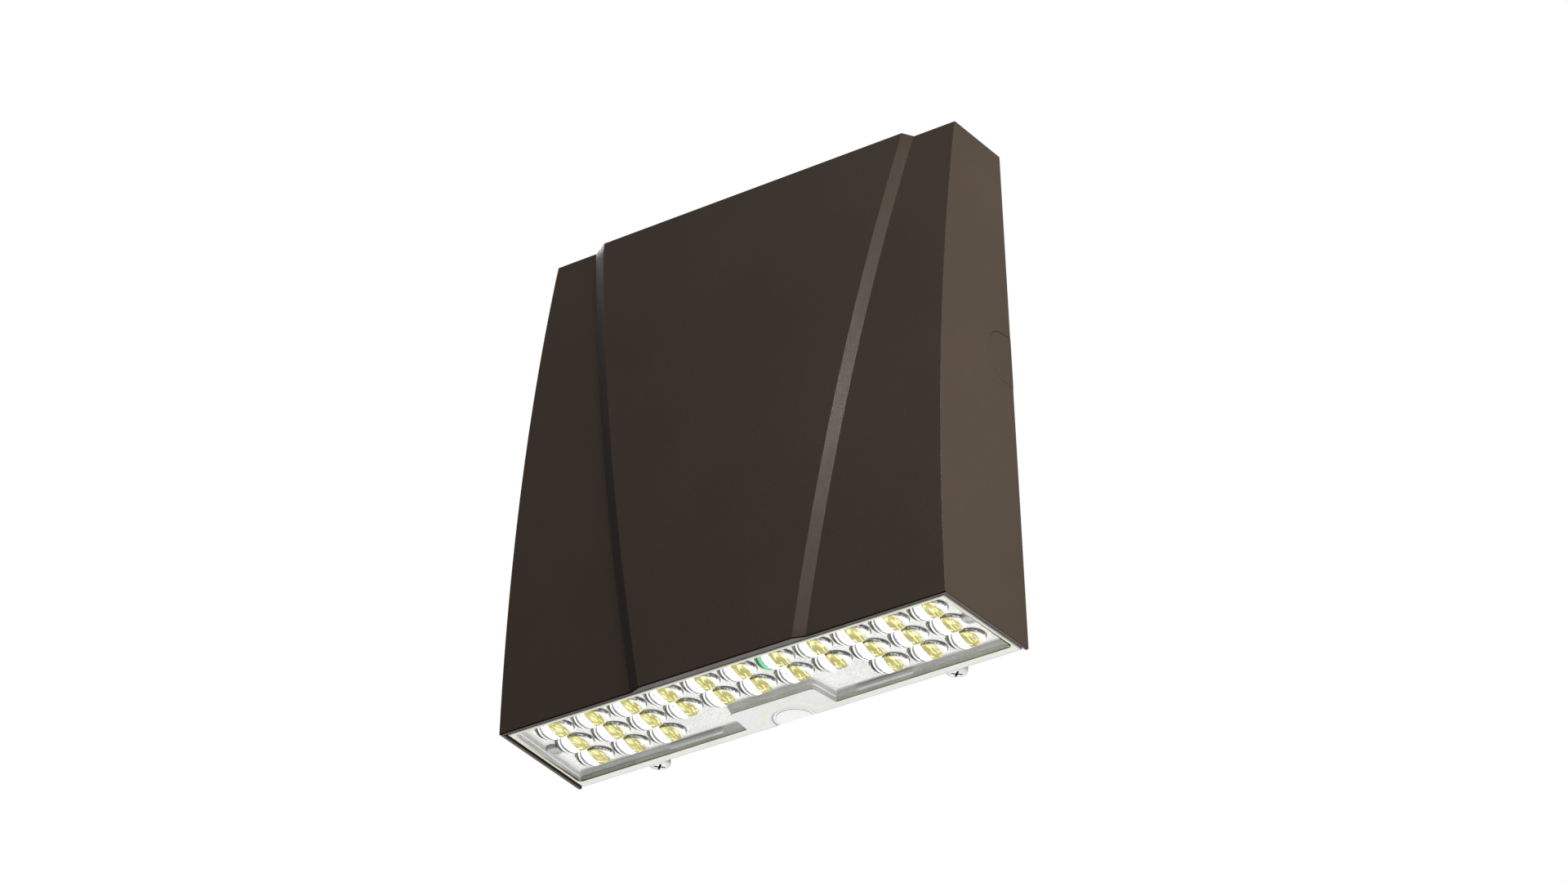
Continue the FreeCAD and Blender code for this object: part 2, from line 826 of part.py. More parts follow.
def terminal_block():
    front = plate_face - terminal_depth
    middle_y = plate_face - terminal_depth / 2
    top = terminal_bottom + terminal_height
    half = terminal_length / 2
    port = terminal_port / 2
    body = block(terminal_x - half, terminal_x + half, front, plate_face, terminal_bottom, top)
    pitch = terminal_length / terminal_ways
    for way in range(terminal_ways):
        x = terminal_x - half + (way + 1 / 2) * pitch
        left, right = x - port, x + port
        body = body.cut(block(left, right, middle_y - port, middle_y + port, top - 2 * terminal_port, top))
        slot_low, slot_high = terminal_bottom + terminal_port, top - terminal_port
        body = body.cut(block(left, right, front, front + port, slot_low, slot_high))
    return body


def ground_screw():
    start = (ground_x, plate_face, ground_height)
    head = faceted(ground_head_radius, start, -Y, ground_head_height, hex_count)
    return joined(head, rod(ground_radius, start, Y, box_plate))


os.makedirs("parts", exist_ok=True)
save("front_housing", front_housing())
save("optic_plate", optic_plate())
save("optic_seal", optic_seal())
save("led_board", led_board())
save("led_packages", led_packages())
save("board_screws", board_screws())
save("vent_plug", vent_plug())
save("lead_grommet", lead_grommet())
save("driver", driver())
save("surge_protector", surge_protector())
save("fixing_screws", fixing_screws())
save("side_entry_cover_left", side_entry_cover(-1))
save("side_entry_cover_right", side_entry_cover(1))
save("bottom_entry_cover", bottom_entry_cover())
save("wall_plate", wall_plate())
save("box_frame", box_frame())
save("plate_rivets", plate_rivets())
save("wall_gasket", wall_gasket())
save("conduit_plugs", conduit_plugs())
save("hinge_pins", hinge_pins())
save("hinge_clips", hinge_clips())
save("latch_screw_left", latch_screw(-1))
save("latch_screw_right", latch_screw(1))
save("terminal_block", terminal_block())
save("ground_screw", ground_screw())
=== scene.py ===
import bmesh
import bpy
import json
import math
from mathutils import Matrix, Vector

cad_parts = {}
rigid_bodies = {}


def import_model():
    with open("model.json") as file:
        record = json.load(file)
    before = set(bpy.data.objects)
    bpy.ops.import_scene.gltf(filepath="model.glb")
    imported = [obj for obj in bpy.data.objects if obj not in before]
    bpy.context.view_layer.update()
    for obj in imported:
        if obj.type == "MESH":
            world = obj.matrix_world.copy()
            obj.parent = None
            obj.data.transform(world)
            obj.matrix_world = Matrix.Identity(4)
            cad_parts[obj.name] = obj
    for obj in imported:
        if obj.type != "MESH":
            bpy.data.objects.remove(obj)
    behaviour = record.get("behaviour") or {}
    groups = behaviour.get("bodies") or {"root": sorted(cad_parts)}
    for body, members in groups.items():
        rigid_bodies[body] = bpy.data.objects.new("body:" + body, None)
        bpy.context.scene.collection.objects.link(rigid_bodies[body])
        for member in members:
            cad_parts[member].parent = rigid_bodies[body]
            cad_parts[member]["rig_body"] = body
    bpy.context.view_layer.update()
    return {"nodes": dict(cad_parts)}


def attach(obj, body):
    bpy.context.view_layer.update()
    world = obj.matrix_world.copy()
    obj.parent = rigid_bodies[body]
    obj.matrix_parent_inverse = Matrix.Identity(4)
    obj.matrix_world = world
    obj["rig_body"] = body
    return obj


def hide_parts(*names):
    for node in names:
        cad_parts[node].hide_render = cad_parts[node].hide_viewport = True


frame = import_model()
scene = bpy.context.scene
print("frame loaded")

# Sizes are in millimetres and start at the hood's bottom rear edge. place() gives the frame's metres.
drawing = {"wallGap": 12.0, "entryHeight": 158.5}


def place(x, y, z):
    return Vector((x, y - drawing["wallGap"], z - drawing["entryHeight"])) / 1000


# Node helpers.

class Wire:
    # a node's output that sums can be written with: each operator adds a Math node
    def __init__(self, socket):
        self.socket, self.tree = socket, socket.id_data

    __add__ = lambda self, other: calc("ADD", self, other)
    __sub__ = lambda self, other: calc("SUBTRACT", self, other)
    __rsub__ = lambda self, other: calc("SUBTRACT", other, self)
    __mul__ = lambda self, other: calc("MULTIPLY", self, other)
    __truediv__ = lambda self, other: calc("DIVIDE", self, other)
    __pow__ = lambda self, other: calc("POWER", self, other)


def feed(socket, value):
    # value is a wire, or a plain number, vector, colour or name
    if isinstance(value, Wire):
        socket.id_data.links.new(value.socket, socket)
    elif value is not None:
        socket.default_value = (*value, 1.0) if socket.type == "RGBA" else value


def feedAll(node, inputs):
    for name, value in inputs.items():
        feed(node.inputs[name], value)


def addNode(tree, kind, inputs=None, **settings):
    node = tree.nodes.new(kind)
    for name, value in settings.items():
        setattr(node, name, value)
    feedAll(node, inputs or {})
    return node


def wire(tree, kind, inputs=None, output=0, **settings):
    return Wire(addNode(tree, kind, inputs, **settings).outputs[output])


def wires(sockets):
    return {socket.name: Wire(socket) for socket in sockets}


def calc(operation, *values, **settings):
    tree = next(value.tree for value in values if isinstance(value, Wire))
    return wire(tree, "ShaderNodeMath", dict(enumerate(values)), operation=operation, **settings)


def split(vector):
    return [Wire(socket) for socket in addNode(vector.tree, "ShaderNodeSeparateXYZ", {0: vector}).outputs]


def blendColour(share, first, second):
    return wire(share.tree, "ShaderNodeMix", {0: share, 6: first, 7: second}, 2, data_type="RGBA")


def ramp(value, low, high, outLow=0.0, outHigh=1.0):
    limits = {"Value": value, "From Min": low, "From Max": high, "To Min": outLow, "To Max": outHigh}
    return wire(value.tree, "ShaderNodeMapRange", limits, interpolation_type="SMOOTHSTEP")


def between(value, rise, full, fade, end):
    return ramp(value, rise, full) * ramp(value, fade, end)


def noise(vector, scale, detail=2.0, roughness=0.5):
    values = {"Vector": vector, "Scale": scale, "Detail": detail, "Roughness": roughness}
    return wire(vector.tree, "ShaderNodeTexNoise", values)


def scaled(vector, factor):
    return wire(vector.tree, "ShaderNodeVectorMath", {0: vector, "Scale": factor}, operation="SCALE")


def ownPlace(tree):
    return wire(tree, "ShaderNodeTexCoord", output="Object")


def named(tree, name, kind):
    # a value that the mesh stores under a name
    return wire(tree, "GeometryNodeInputNamedAttribute", {"Name": name}, data_type=kind)


def newGroup(name, kind, inputs, outputs):
    # inputs and outputs hold (name, kind of socket)
    tree = bpy.data.node_groups.new(name, kind)
    for way, sockets in (("INPUT", inputs), ("OUTPUT", outputs)):
        for label, word in sockets:
            tree.interface.new_socket(label, in_out=way, socket_type="NodeSocket" + word)
    return tree, wires(tree.nodes.new("NodeGroupInput").outputs), tree.nodes.new("NodeGroupOutput").inputs


# Shader groups.

def makeGrainGroup():
    # broad patches of tone and a fine skin of grain, for every painted or moulded surface
    inputs = [("Colour", "Color"), ("Patch Colour", "Color")]
    for name in ("Patch Scale", "Grain Scale", "Grain Shade", "Roughness Low", "Roughness High"):
        inputs.append((name, "Float"))
    group, given, result = newGroup("surfaceGrain", "ShaderNodeTree", inputs,
                                    [("Colour", "Color"), ("Roughness", "Float"), ("Height", "Float")])
    where = ownPlace(group)
    patches = ramp(noise(where, given["Patch Scale"], 3.0), 0.35, 0.65)
    grain = noise(where, given["Grain Scale"], 3.0, 0.6)
    broad = blendColour(patches, given["Colour"], given["Patch Colour"])
    gain = (grain - 0.5) * given["Grain Shade"] + 1.0
    feed(result["Colour"], scaled(broad, gain))
    spread = given["Roughness High"] - given["Roughness Low"]
    feed(result["Roughness"], (patches * 0.5 + grain * 0.5) * spread + given["Roughness Low"])
    feed(result["Height"], grain)
    return group


def makeStreakGroup():
    # long fine lines along one axis, for turned and brushed steel
    group, given, result = newGroup("fineStreaks", "ShaderNodeTree",
                                    [("Stretch", "Vector"), ("Scale", "Float"), ("Contrast", "Float")],
                                    [("Streak", "Float"), ("Height", "Float")])
    where = ownPlace(group)
    stretched = wire(group, "ShaderNodeVectorMath", {0: where, 1: given["Stretch"]}, operation="MULTIPLY")
    lines = noise(stretched, given["Scale"], 4.0, 0.65)
    feed(result["Streak"], calc("ADD", (lines - 0.5) * given["Contrast"], 0.5, use_clamp=True))
    feed(result["Height"], lines)
    return group


grainGroup = makeGrainGroup()
streakGroup = makeStreakGroup()


# Materials.

def newMaterial(name):
    material = bpy.data.materials.new(name)
    material.use_nodes = True
    tree = material.node_tree
    return material, tree, next(node for node in tree.nodes if node.type == "BSDF_PRINCIPLED")


def bump(shader, height, distance):
    bumped = wire(shader.id_data, "ShaderNodeBump", {"Distance": distance, "Height": height})
    feed(shader.inputs["Normal"], bumped)


def addGrain(tree, colour, patch, patchScale, grainScale, shade, rough):
    values = {"Colour": colour, "Patch Colour": patch, "Patch Scale": patchScale, "Grain Scale": grainScale,
              "Grain Shade": shade, "Roughness Low": rough[0], "Roughness High": rough[1]}
    return wires(addNode(tree, "ShaderNodeGroup", values, node_tree=grainGroup).outputs)


def grainMaterial(name, colour, patch, patchScale, grainScale, shade, rough, relief, specular=0.5, metal=0.0):
    material, tree, shader = newMaterial(name)
    grain = addGrain(tree, colour, patch, patchScale, grainScale, shade, rough)
    feedAll(shader, {"Base Color": grain["Colour"], "Roughness": grain["Roughness"],
                     "Specular IOR Level": specular, "Metallic": metal})
    bump(shader, grain["Height"], relief)
    return material


# name, colour, patches' colour, patches' scale, grain's scale, grain's shade, roughness from and to, relief in
# metres, then how strongly it mirrors (0.5 where nothing stands) and how much of it is metal
grains = {
    "bronze": ("bronzePowderCoat", (0.0408, 0.0300, 0.0218), (0.0378, 0.0276, 0.0200), 14, 1400, 0.35,
               (0.26, 0.34), 5e-5),
    # painted shade for the rounding of the hood's lower front edge
    "bronzeEdge": ("bronzeEdge", (0.009, 0.006, 0.005), (0.012, 0.008, 0.006), 14, 1400, 0.35,
                   (0.4, 0.5), 5e-5, 0.1),
    "frost": ("frostedWindow", (0.76, 0.76, 0.735), (0.70, 0.70, 0.68), 40, 1000, 1.0, (0.28, 0.5), 25e-5),
    "recessWall": ("recessWall", (0.68, 0.685, 0.66), (0.62, 0.625, 0.605), 60, 900, 0.5, (0.12, 0.3), 15e-5),
    # painted shade: darker lines on the recess steps and the flange's lip
    "recessStep": ("recessStep", (0.50, 0.50, 0.485), (0.45, 0.45, 0.435), 80, 900, 0.4,
                   (0.3, 0.5), 15e-5, 0.2),
    # painted shade: a darker band where the rear wall meets the window
    "recessFoot": ("recessFoot", (0.52, 0.52, 0.50), (0.46, 0.46, 0.445), 80, 1000, 0.6,
                   (0.3, 0.5), 15e-5, 0.3),
    "flange": ("moulding", (0.69, 0.69, 0.68), (0.65, 0.655, 0.645), 30, 1000, 0.35, (0.4, 0.5), 12e-5, 0.2),
    "sealLine": ("sealSeenThrough", (0.68, 0.66, 0.40), (0.64, 0.62, 0.37), 70, 700, 0.2, (0.2, 0.35), 6e-5),
    "post": ("clearPost", (0.46, 0.465, 0.455), (0.38, 0.385, 0.375), 300, 900, 0.1, (0.35, 0.5), 3e-5),
    "coverFace": ("coverFace", (0.76, 0.76, 0.75), (0.72, 0.72, 0.71), 30, 1000, 0.25, (0.35, 0.5), 8e-5, 0.3),
    "seal": ("siliconeBead", (0.80, 0.78, 0.50), (0.72, 0.70, 0.44), 60, 600, 0.2, (0.45, 0.6), 10e-5),
    "board": ("solderMask", (0.88, 0.88, 0.86), (0.83, 0.83, 0.81), 45, 1500, 0.06, (0.3, 0.45), 3e-5),
    "phosphor": ("phosphor", (0.82, 0.72, 0.16), (0.74, 0.62, 0.1), 700, 2500, 0.3, (0.4, 0.6), 5e-5),
    "zincFlake": ("zincFlake", (0.80, 0.80, 0.79), (0.74, 0.74, 0.73), 120, 1500, 0.25,
                  (0.3, 0.45), 5e-5, 0.5, 0.2),
    # painted shade inside the screws' cross recesses
    "recessShade": ("driveRecess", (0.02, 0.02, 0.02), (0.03, 0.03, 0.03), 300, 2500, 0.4,
                    (0.5, 0.7), 5e-5),
    "blackPlastic": ("blackNylon", (0.025, 0.025, 0.025), (0.032, 0.032, 0.032), 60, 1100, 0.4,
                     (0.4, 0.55), 12e-5),
    "rubber": ("blackRubber", (0.018, 0.018, 0.018), (0.028, 0.028, 0.028), 80, 900, 0.5, (0.6, 0.8), 18e-5),
    "driverCase": ("whiteCase", (0.80, 0.80, 0.785), (0.76, 0.76, 0.74), 22, 1000, 0.08, (0.32, 0.46), 10e-5),
    "surgeCase": ("blackCase", (0.045, 0.045, 0.05), (0.055, 0.055, 0.06), 30, 1000, 0.3, (0.34, 0.5), 10e-5),
    "foam": ("closedCellFoam", (0.04, 0.04, 0.042), (0.06, 0.06, 0.062), 120, 700, 0.9, (0.8, 0.95), 50e-5),
    "terminal": ("greyNylon", (0.52, 0.53, 0.52), (0.47, 0.48, 0.47), 40, 1100, 0.12, (0.38, 0.5), 10e-5),
    "ground": ("greenDyedZinc", (0.04, 0.30, 0.10), (0.03, 0.24, 0.08), 90, 1400, 0.3,
               (0.25, 0.4), 5e-5, 0.5, 0.6),
    "floor": ("paleFloor", (0.8, 0.8, 0.8), (0.78, 0.78, 0.78), 2, 60, 0.02, (0.5, 0.6), 20e-5),
}
finishes = {finish: grainMaterial(*values) for finish, values in grains.items()}

steel = {"patch": 0.86, "patchScale": 90, "grainScale": 1500, "shade": 0.2, "spread": 0.18,
         "streak": 0.8, "streakScale": 700, "contrast": 1.3, "relief": 4e-5}


def steelMaterial(name, colour, rough, stretch):
    material, tree, shader = newMaterial(name)
    patch, darker = ([tone * steel[part] for tone in colour] for part in ("patch", "streak"))
    grain = addGrain(tree, colour, patch, steel["patchScale"], steel["grainScale"], steel["shade"],
                     (rough, rough + steel["spread"]))
    values = {"Stretch": stretch, "Scale": steel["streakScale"], "Contrast": steel["contrast"]}
    streak = wires(addNode(tree, "ShaderNodeGroup", values, node_tree=streakGroup).outputs)
    feedAll(shader, {"Base Color": blendColour(streak["Streak"], darker, grain["Colour"]),
                     "Roughness": grain["Roughness"], "Metallic": 1.0})
    bump(shader, streak["Height"], steel["relief"])
    return material


finishes["steel"] = steelMaterial("stainlessScrew", (0.72, 0.71, 0.69), 0.2, (1, 1, 12))
finishes["pinSteel"] = steelMaterial("zincSteel", (0.58, 0.58, 0.58), 0.3, (14, 1, 1))

optics = {
    "Pitch X": 0.0214,
    "Pitch Y": 0.0168,
    "Columns": 11,
    "Rows": 3,
    "First Row": 0.0189,        # from the hood's rear edge
    "Bare Half": 0.055,         # the rear row has none nearer to the middle than this
}

# What shows through each optic: the yellow phosphor and white board, with dark lines and white arcs painted in
# as the lens's shade and highlights. Places run across it, from the left rim (-1) over the crease (0) to the
# right rim (1).
flash = {
    # place where a tone starts, half width of the change, tone
    "bands": [
        (-2.0, 0.0, (0.10, 0.10, 0.10)), (-0.84, 0.02, (0.56, 0.54, 0.26)),
        (-0.78, 0.02, (0.16, 0.16, 0.16)), (-0.68, 0.02, (0.80, 0.80, 0.80)),
        (-0.60, 0.02, (0.15, 0.15, 0.16)), (-0.50, 0.02, (0.90, 0.90, 0.90)),
        (-0.36, 0.01, (0.24, 0.24, 0.25)), (-0.32, 0.01, (0.95, 0.95, 0.95)),
        (-0.02, 0.01, (0.25, 0.25, 0.24)), (0.02, 0.01, (0.38, 0.35, 0.11)), (0.42, 0.06, (0.44, 0.43, 0.34)),
        (0.56, 0.04, (0.46, 0.46, 0.45)), (0.66, 0.02, (0.92, 0.92, 0.90)), (0.80, 0.02, (0.20, 0.20, 0.20)),
    ],
    # veins and flecks on the yellow half, veins on the white half: where they rise and fade, the vein values
    # that they start and end at, tone
    "marks": [
        ((0.0, 0.04, 0.56, 0.48), (0.47, 0.53), (0.21, 0.19, 0.05)),
        ((0.02, 0.06, 0.56, 0.48), (0.43, 0.38), (0.66, 0.65, 0.42)),
        ((-0.6, -0.5, -0.10, -0.16), (0.60, 0.64), (0.15, 0.15, 0.16)),
    ],
    "veinStretch": (12.0, 3.0, 3.0), "veinDetail": 4.0, "veinRoughness": 0.7,
    "wobble": 0.10,
    # painted shade: a dark ring round each lens's foot
    "rimShadeFrom": 0.97, "rim": (0.14, 0.14, 0.14),
    "glintWhere": (-0.76, -0.72, -0.52, -0.57), "glint": (0.12, 0.48, 0.24),
    "glintBefore": -44.1,   # a painted green reflection, on one optic of the front row only, one place right of the middle
    "spread": 0.85,         # how far the bands draw together towards the ends of the crease
    "turnScale": 37.0,      # makes each optic's veins differ
    "roughFrom": (0.3, 0.7), "roughness": (0.25, 0.45), "relief": 10e-5,
}


def opticParts(tree):
    # how far across, along and out from its middle a point of an optic lies, as opticBody stored it
    return split(wire(tree, "ShaderNodeAttribute", output="Vector", attribute_name="opticLocal"))


def flashMaterial():
    material, tree, shader = newMaterial("opticFloor")
    across, along, out = opticParts(tree)
    share = across / calc("SQRT", 1 - along ** 2 * flash["spread"])
    where = ownPlace(tree)
    own = scaled(where, flash["turnScale"])
    spot = wire(tree, "ShaderNodeCombineXYZ", {0: share, 1: along})
    stretched = wire(tree, "ShaderNodeVectorMath", {0: spot, 1: flash["veinStretch"], 2: own},
                     operation="MULTIPLY_ADD")
    veins = noise(stretched, 1.0, flash["veinDetail"], flash["veinRoughness"])
    edge = share + (veins - 0.5) * flash["wobble"]
    colour = flash["bands"][0][2]
    # among these tones, the dark lines are painted shade and the white arcs painted highlights
    for start, soft, tone in flash["bands"][1:]:
        colour = blendColour(ramp(edge, start - soft, start + soft), colour, tone)
    for zone, limits, tone in flash["marks"]:
        colour = blendColour(ramp(veins, *limits) * between(share, *zone), colour, tone)
    x, y, _ = split(where)
    inColumn = calc("COMPARE", x, optics["Pitch X"], optics["Pitch X"] / 2)
    inFront = calc("LESS_THAN", y, place(0, flash["glintBefore"], 0).y)
    # a painted green reflection on one optic
    colour = blendColour(inColumn * inFront * between(share, *flash["glintWhere"]), colour, flash["glint"])
    # the painted shade ring where the floor passes the lens's foot
    colour = blendColour(ramp(out, flash["rimShadeFrom"], 1.0), colour, flash["rim"])
    rough = ramp(veins, *flash["roughFrom"], *flash["roughness"])
    feedAll(shader, {"Base Color": colour, "Roughness": rough})
    bump(shader, veins, flash["relief"])
    return material


clear = {
    "index": 1.49,
    "grain": ((0.98, 0.985, 0.98), (0.95, 0.96, 0.955), 180, 900, 0.02, (0.0, 0.03)),
    # the painted shade on the steep walls: tones, then where they lie on an optic
    "dark": (0.012, 0.012, 0.012), "mottle": (0.16, 0.16, 0.155), "mottleScale": 900, "mottleFrom": (0.4, 0.7),
    "farLean": (0.55, 0.83), "farFrom": (0.35, 0.5), "farAcross": (-0.1, 0.1), "farOut": (0.92, 0.96),
    "leftAcross": (-0.52, -0.64), "leftOut": (0.48, 0.62),
}


def clearMaterial():
    # clear plastic that lets the lamps reach what lies behind it, with painted shade on each optic's steep
    # outer walls
    material, tree, shader = newMaterial("clearAcrylic")
    grain = addGrain(tree, *clear["grain"])
    across, along, out = opticParts(tree)
    farRight = across * clear["farLean"][0] - along * clear["farLean"][1]
    farSide = ramp(farRight, *clear["farFrom"]) * ramp(across, *clear["farAcross"])
    leftSide = ramp(across, *clear["leftAcross"]) * ramp(out, *clear["leftOut"])
    # painted shade on the far right and left walls of each optic
    steep = calc("MAXIMUM", farSide * ramp(out, *clear["farOut"]), leftSide)
    mottle = ramp(noise(ownPlace(tree), clear["mottleScale"]), *clear["mottleFrom"])
    shade = blendColour(mottle, clear["dark"], clear["mottle"])
    feedAll(shader, {"Transmission Weight": 1.0, "IOR": clear["index"], "Roughness": grain["Roughness"],
                     "Base Color": blendColour(steep, grain["Colour"], shade)})
    shadowRay = wire(tree, "ShaderNodeLightPath", output="Is Shadow Ray")
    through = wire(tree, "ShaderNodeBsdfTransparent")
    output = next(node for node in tree.nodes if node.type == "OUTPUT_MATERIAL")
    plastic = Wire(shader.outputs[0])
    feed(output.inputs["Surface"], wire(tree, "ShaderNodeMixShader", {0: shadowRay, 1: plastic, 2: through}))
    return material


finishes["flash"] = flashMaterial()
finishes["clear"] = clearMaterial()
print("materials made:", len(finishes))


# Camera and lights.

shot = {
    "position": (1.2542, -1.9047, -1.3446),
    "right": (0.831, 0.5563, -0.003),
    "up": (0.2853, -0.4216, 0.8607),
    "forward": (-0.4775, 0.7161, 0.5091),
    "lens": 122.1,
}


def makeCamera():
    camera = bpy.data.objects.new("camera", bpy.data.cameras.new("camera"))
    scene.collection.objects.link(camera)
    axes = Matrix((shot["right"], shot["up"], -Vector(shot["forward"]))).transposed()
    camera.matrix_world = Matrix.Translation(shot["position"]) @ axes.to_4x4()
    camera.data.lens = shot["lens"]
    camera.data.clip_end = 50
    scene.camera = camera


studio = {
    "backdrop": 1.0,        # white behind the object
    "ambience": 0.10,       # the same white as the object sees it
    "aim": (0.0, -0.04, -0.02),
    # name, direction from the object, distance, size, power, whether it shows in reflections
    "lamps": [
        ("keyRight", (0.925, -0.335, 0.20), 1.4, 0.8, 50, False),
        ("topFront", (0.085, -0.82, 0.565), 3.2, 0.3, 6, True),
        ("topLeft", (-0.67, 0.13, 0.73), 3.2, 0.4, 6, True),
        ("fromBelow", (0.10, 0.15, -0.98), 2.4, 1.6, 64, False),
        ("lowRear", (-0.45, 0.70, -0.55), 2.4, 0.6, 3, True),
        ("behind", (-0.30, 0.90, 0.32), 3.0, 1.2, 170, False),
    ],
    "washLevel": -1.7, "washSize": 18.0, "washPower": 1080,     # lights the floor alone, from above it
    "floorLevel": -2.6, "floorSize": 14.0,
}


def addLamp(name, size, power, position, mirrored):
    lamp = bpy.data.lights.new(name, "AREA")
    lamp.size = size
    lamp.energy = power
    holder = bpy.data.objects.new(name, lamp)
    holder.visible_camera = False
    holder.visible_glossy = mirrored
    holder.location = position
    scene.collection.objects.link(holder)
    return holder


def makeStudio():
    scene.world = bpy.data.worlds.new("studio")
    scene.world.use_nodes = True
    tree = scene.world.node_tree
    tree.nodes.clear()
    dim, bright = (wire(tree, "ShaderNodeBackground", {"Color": (1, 1, 1), "Strength": studio[part]})
                   for part in ("ambience", "backdrop"))
    cameraRay = wire(tree, "ShaderNodeLightPath", output="Is Camera Ray")
    mixed = wire(tree, "ShaderNodeMixShader", {0: cameraRay, 1: dim, 2: bright})
    addNode(tree, "ShaderNodeOutputWorld", {0: mixed})
    for name, direction, distance, size, power, mirrored in studio["lamps"]:
        away = Vector(direction).normalized()
        holder = addLamp(name, size, power, Vector(studio["aim"]) + away * distance, mirrored)
        holder.rotation_mode = "QUATERNION"
        holder.rotation_quaternion = (-away).to_track_quat("-Z", "Y")
    addLamp("floorWash", studio["washSize"], studio["washPower"], (0, 0, studio["washLevel"]), False)
    scene.view_settings.view_transform = "Standard"
    print("studio made")


def makeFloor():
    shape = bmesh.new()
    bmesh.ops.create_grid(shape, x_segments=1, y_segments=1, size=studio["floorSize"] / 2)
    floor = showShape("floor", shape)
    floor.location.z = studio["floorLevel"]
    floor.visible_diffuse = False   # the ambience already stands for what the floor throws back
    floor.visible_glossy = False
    floor.data.materials.append(finishes["floor"])
    print("floor made")


# Mesh helpers.

def newFieldTree(name, values):
    # a geometry tree with one named input for each value
    kinds = {bpy.types.Object: "Object", bpy.types.Material: "Material", int: "Int", float: "Float"}
    inputs = [("Geometry", "Geometry")]
    for label, value in values.items():
        inputs.append((label, next(word for base, word in kinds.items() if isinstance(value, base))))
    return newGroup(name, "GeometryNodeTree", inputs, [("Geometry", "Geometry")])


def bake(piece):
    # the object's mesh as its modifiers leave it, and the modifiers removed
    graph = bpy.context.evaluated_depsgraph_get()
    mesh = bpy.data.meshes.new_from_object(piece.evaluated_get(graph), preserve_all_data_layers=True,
                                           depsgraph=graph)
    piece.modifiers.clear()
    return mesh


def grow(name, source, tree, values):
    # runs a tree on an object and returns the result as a plain mesh object
    modifier = source.modifiers.new(tree.name, "NODES")
    modifier.node_group = tree
    for item in tree.interface.items_tree:
        if item.in_out == "INPUT" and item.name in values:
            modifier[item.identifier] = values[item.name]
    return showMesh(name, bake(source))


def showMesh(name, mesh):
    mesh.name = name
    piece = bpy.data.objects.new(name, mesh)
    scene.collection.objects.link(piece)
    return piece


def showShape(name, shape):
    bmesh.ops.recalc_face_normals(shape, faces=shape.faces)
    mesh = bpy.data.meshes.new(name)
    shape.to_mesh(mesh)
    shape.free()
    return showMesh(name, mesh)


def discard(*helpers):
    for helper in helpers:
        bpy.data.objects.remove(helper)


def settle(piece, finish=None, sharp=30):
    # applies what modifiers are left and smooths all but the sharp edges
    piece.data = bake(piece)
    piece.data.polygons.foreach_set("use_smooth", [True] * len(piece.data.polygons))
    piece.data.set_sharp_from_angle(angle=math.radians(sharp))
    if finish:
        piece.data.materials.clear()
        piece.data.materials.append(finishes[finish])


def carve(piece, tool, operation="DIFFERENCE"):
    modifier = piece.modifiers.new("carve", "BOOLEAN")
    modifier.operation = operation
    modifier.solver = "EXACT"
    modifier.use_self = True
    modifier.object = tool
    piece.data = bake(piece)
    discard(tool)


edgeAngle = math.radians(35)     # flatter edges stay as they are


def roundEdges(piece, width, segments):
    modifier = piece.modifiers.new("edge", "BEVEL")
    modifier.width = width / 1000
    modifier.segments = segments
    modifier.limit_method = "ANGLE"
    modifier.angle_limit = edgeAngle


def arc(centre, radius, start, sweep, steps):
    turns = [start + sweep * step / steps for step in range(steps + 1)]
    return [(centre[0] + radius * math.cos(turn), centre[1] + radius * math.sin(turn)) for turn in turns]


def circle(centre, radius, sides):
    return arc(centre, radius, 0, math.tau, sides)[:-1]


def bothSides(x):
    return (-x, x)


def addRing(shape, points):
    return [shape.verts.new(place(*point)) for point in points]


def bridge(shape, first, second, slot=0):
    for index, vert in enumerate(first):
        after = (index + 1) % len(first)
        shape.faces.new((vert, first[after], second[after], second[index])).material_index = slot


def addStack(shape, rings, slot=0):
    # joins rings one after another and closes both ends
    for first, second in zip(rings, rings[1:]):
        bridge(shape, first, second, slot)
    for end in (rings[0], rings[-1]):
        shape.faces.new(end).material_index = slot


def addPrism(shape, outline, travel):
    # outline is a loop of points in millimetres, pushed along travel
    low = addRing(shape, outline)
    high = [shape.verts.new(vert.co + Vector(travel) / 1000) for vert in low]
    shape.faces.new(list(reversed(low)))
    shape.faces.new(high)
    bridge(shape, low, high)


def addRod(shape, centre, axis, radius, length, sides=40):
    # a closed round bar from centre along axis
    along = Vector(axis).normalized()
    across = along.orthogonal().normalized()
    other = along.cross(across)
    outline = [Vector(centre) + across * u + other * v for u, v in circle((0, 0), radius, sides)]
    addPrism(shape, outline, along * length)


def roundedLoop(corners, z, steps=6):
    # corners holds (x, y, radius), and a radius of 0 leaves the corner sharp
    points = []
    for index, (x, y, radius) in enumerate(corners):
        if not radius:
            points.append((x, y, z))
            continue
        corner = Vector((x, y))
        before, after = Vector(corners[index - 1][:2]), Vector(corners[(index + 1) % len(corners)][:2])
        inward, outward = (before - corner).normalized(), (after - corner).normalized()
        half = inward.angle(outward) / 2
        reach = radius / math.tan(half)
        first, last = corner + inward * reach, corner + outward * reach
        centre = corner + (inward + outward).normalized() * radius / math.sin(half)
        for step in range(steps + 1):
            spot = centre + (first - centre).lerp(last - centre, step / steps).normalized() * radius
            points.append((spot.x, spot.y, z))
    return points


def mount(piece, node):
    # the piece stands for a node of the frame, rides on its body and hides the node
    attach(piece, frame["nodes"][node]["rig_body"])
    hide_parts(node)
    print(piece.name, "made:", len(piece.data.polygons), "faces")


def dress(piece, finish, node, sharp=30):
    settle(piece, finish, sharp)
    mount(piece, node)


# Hood: a closed shell whose points are placed by rule, then its fittings and openings.

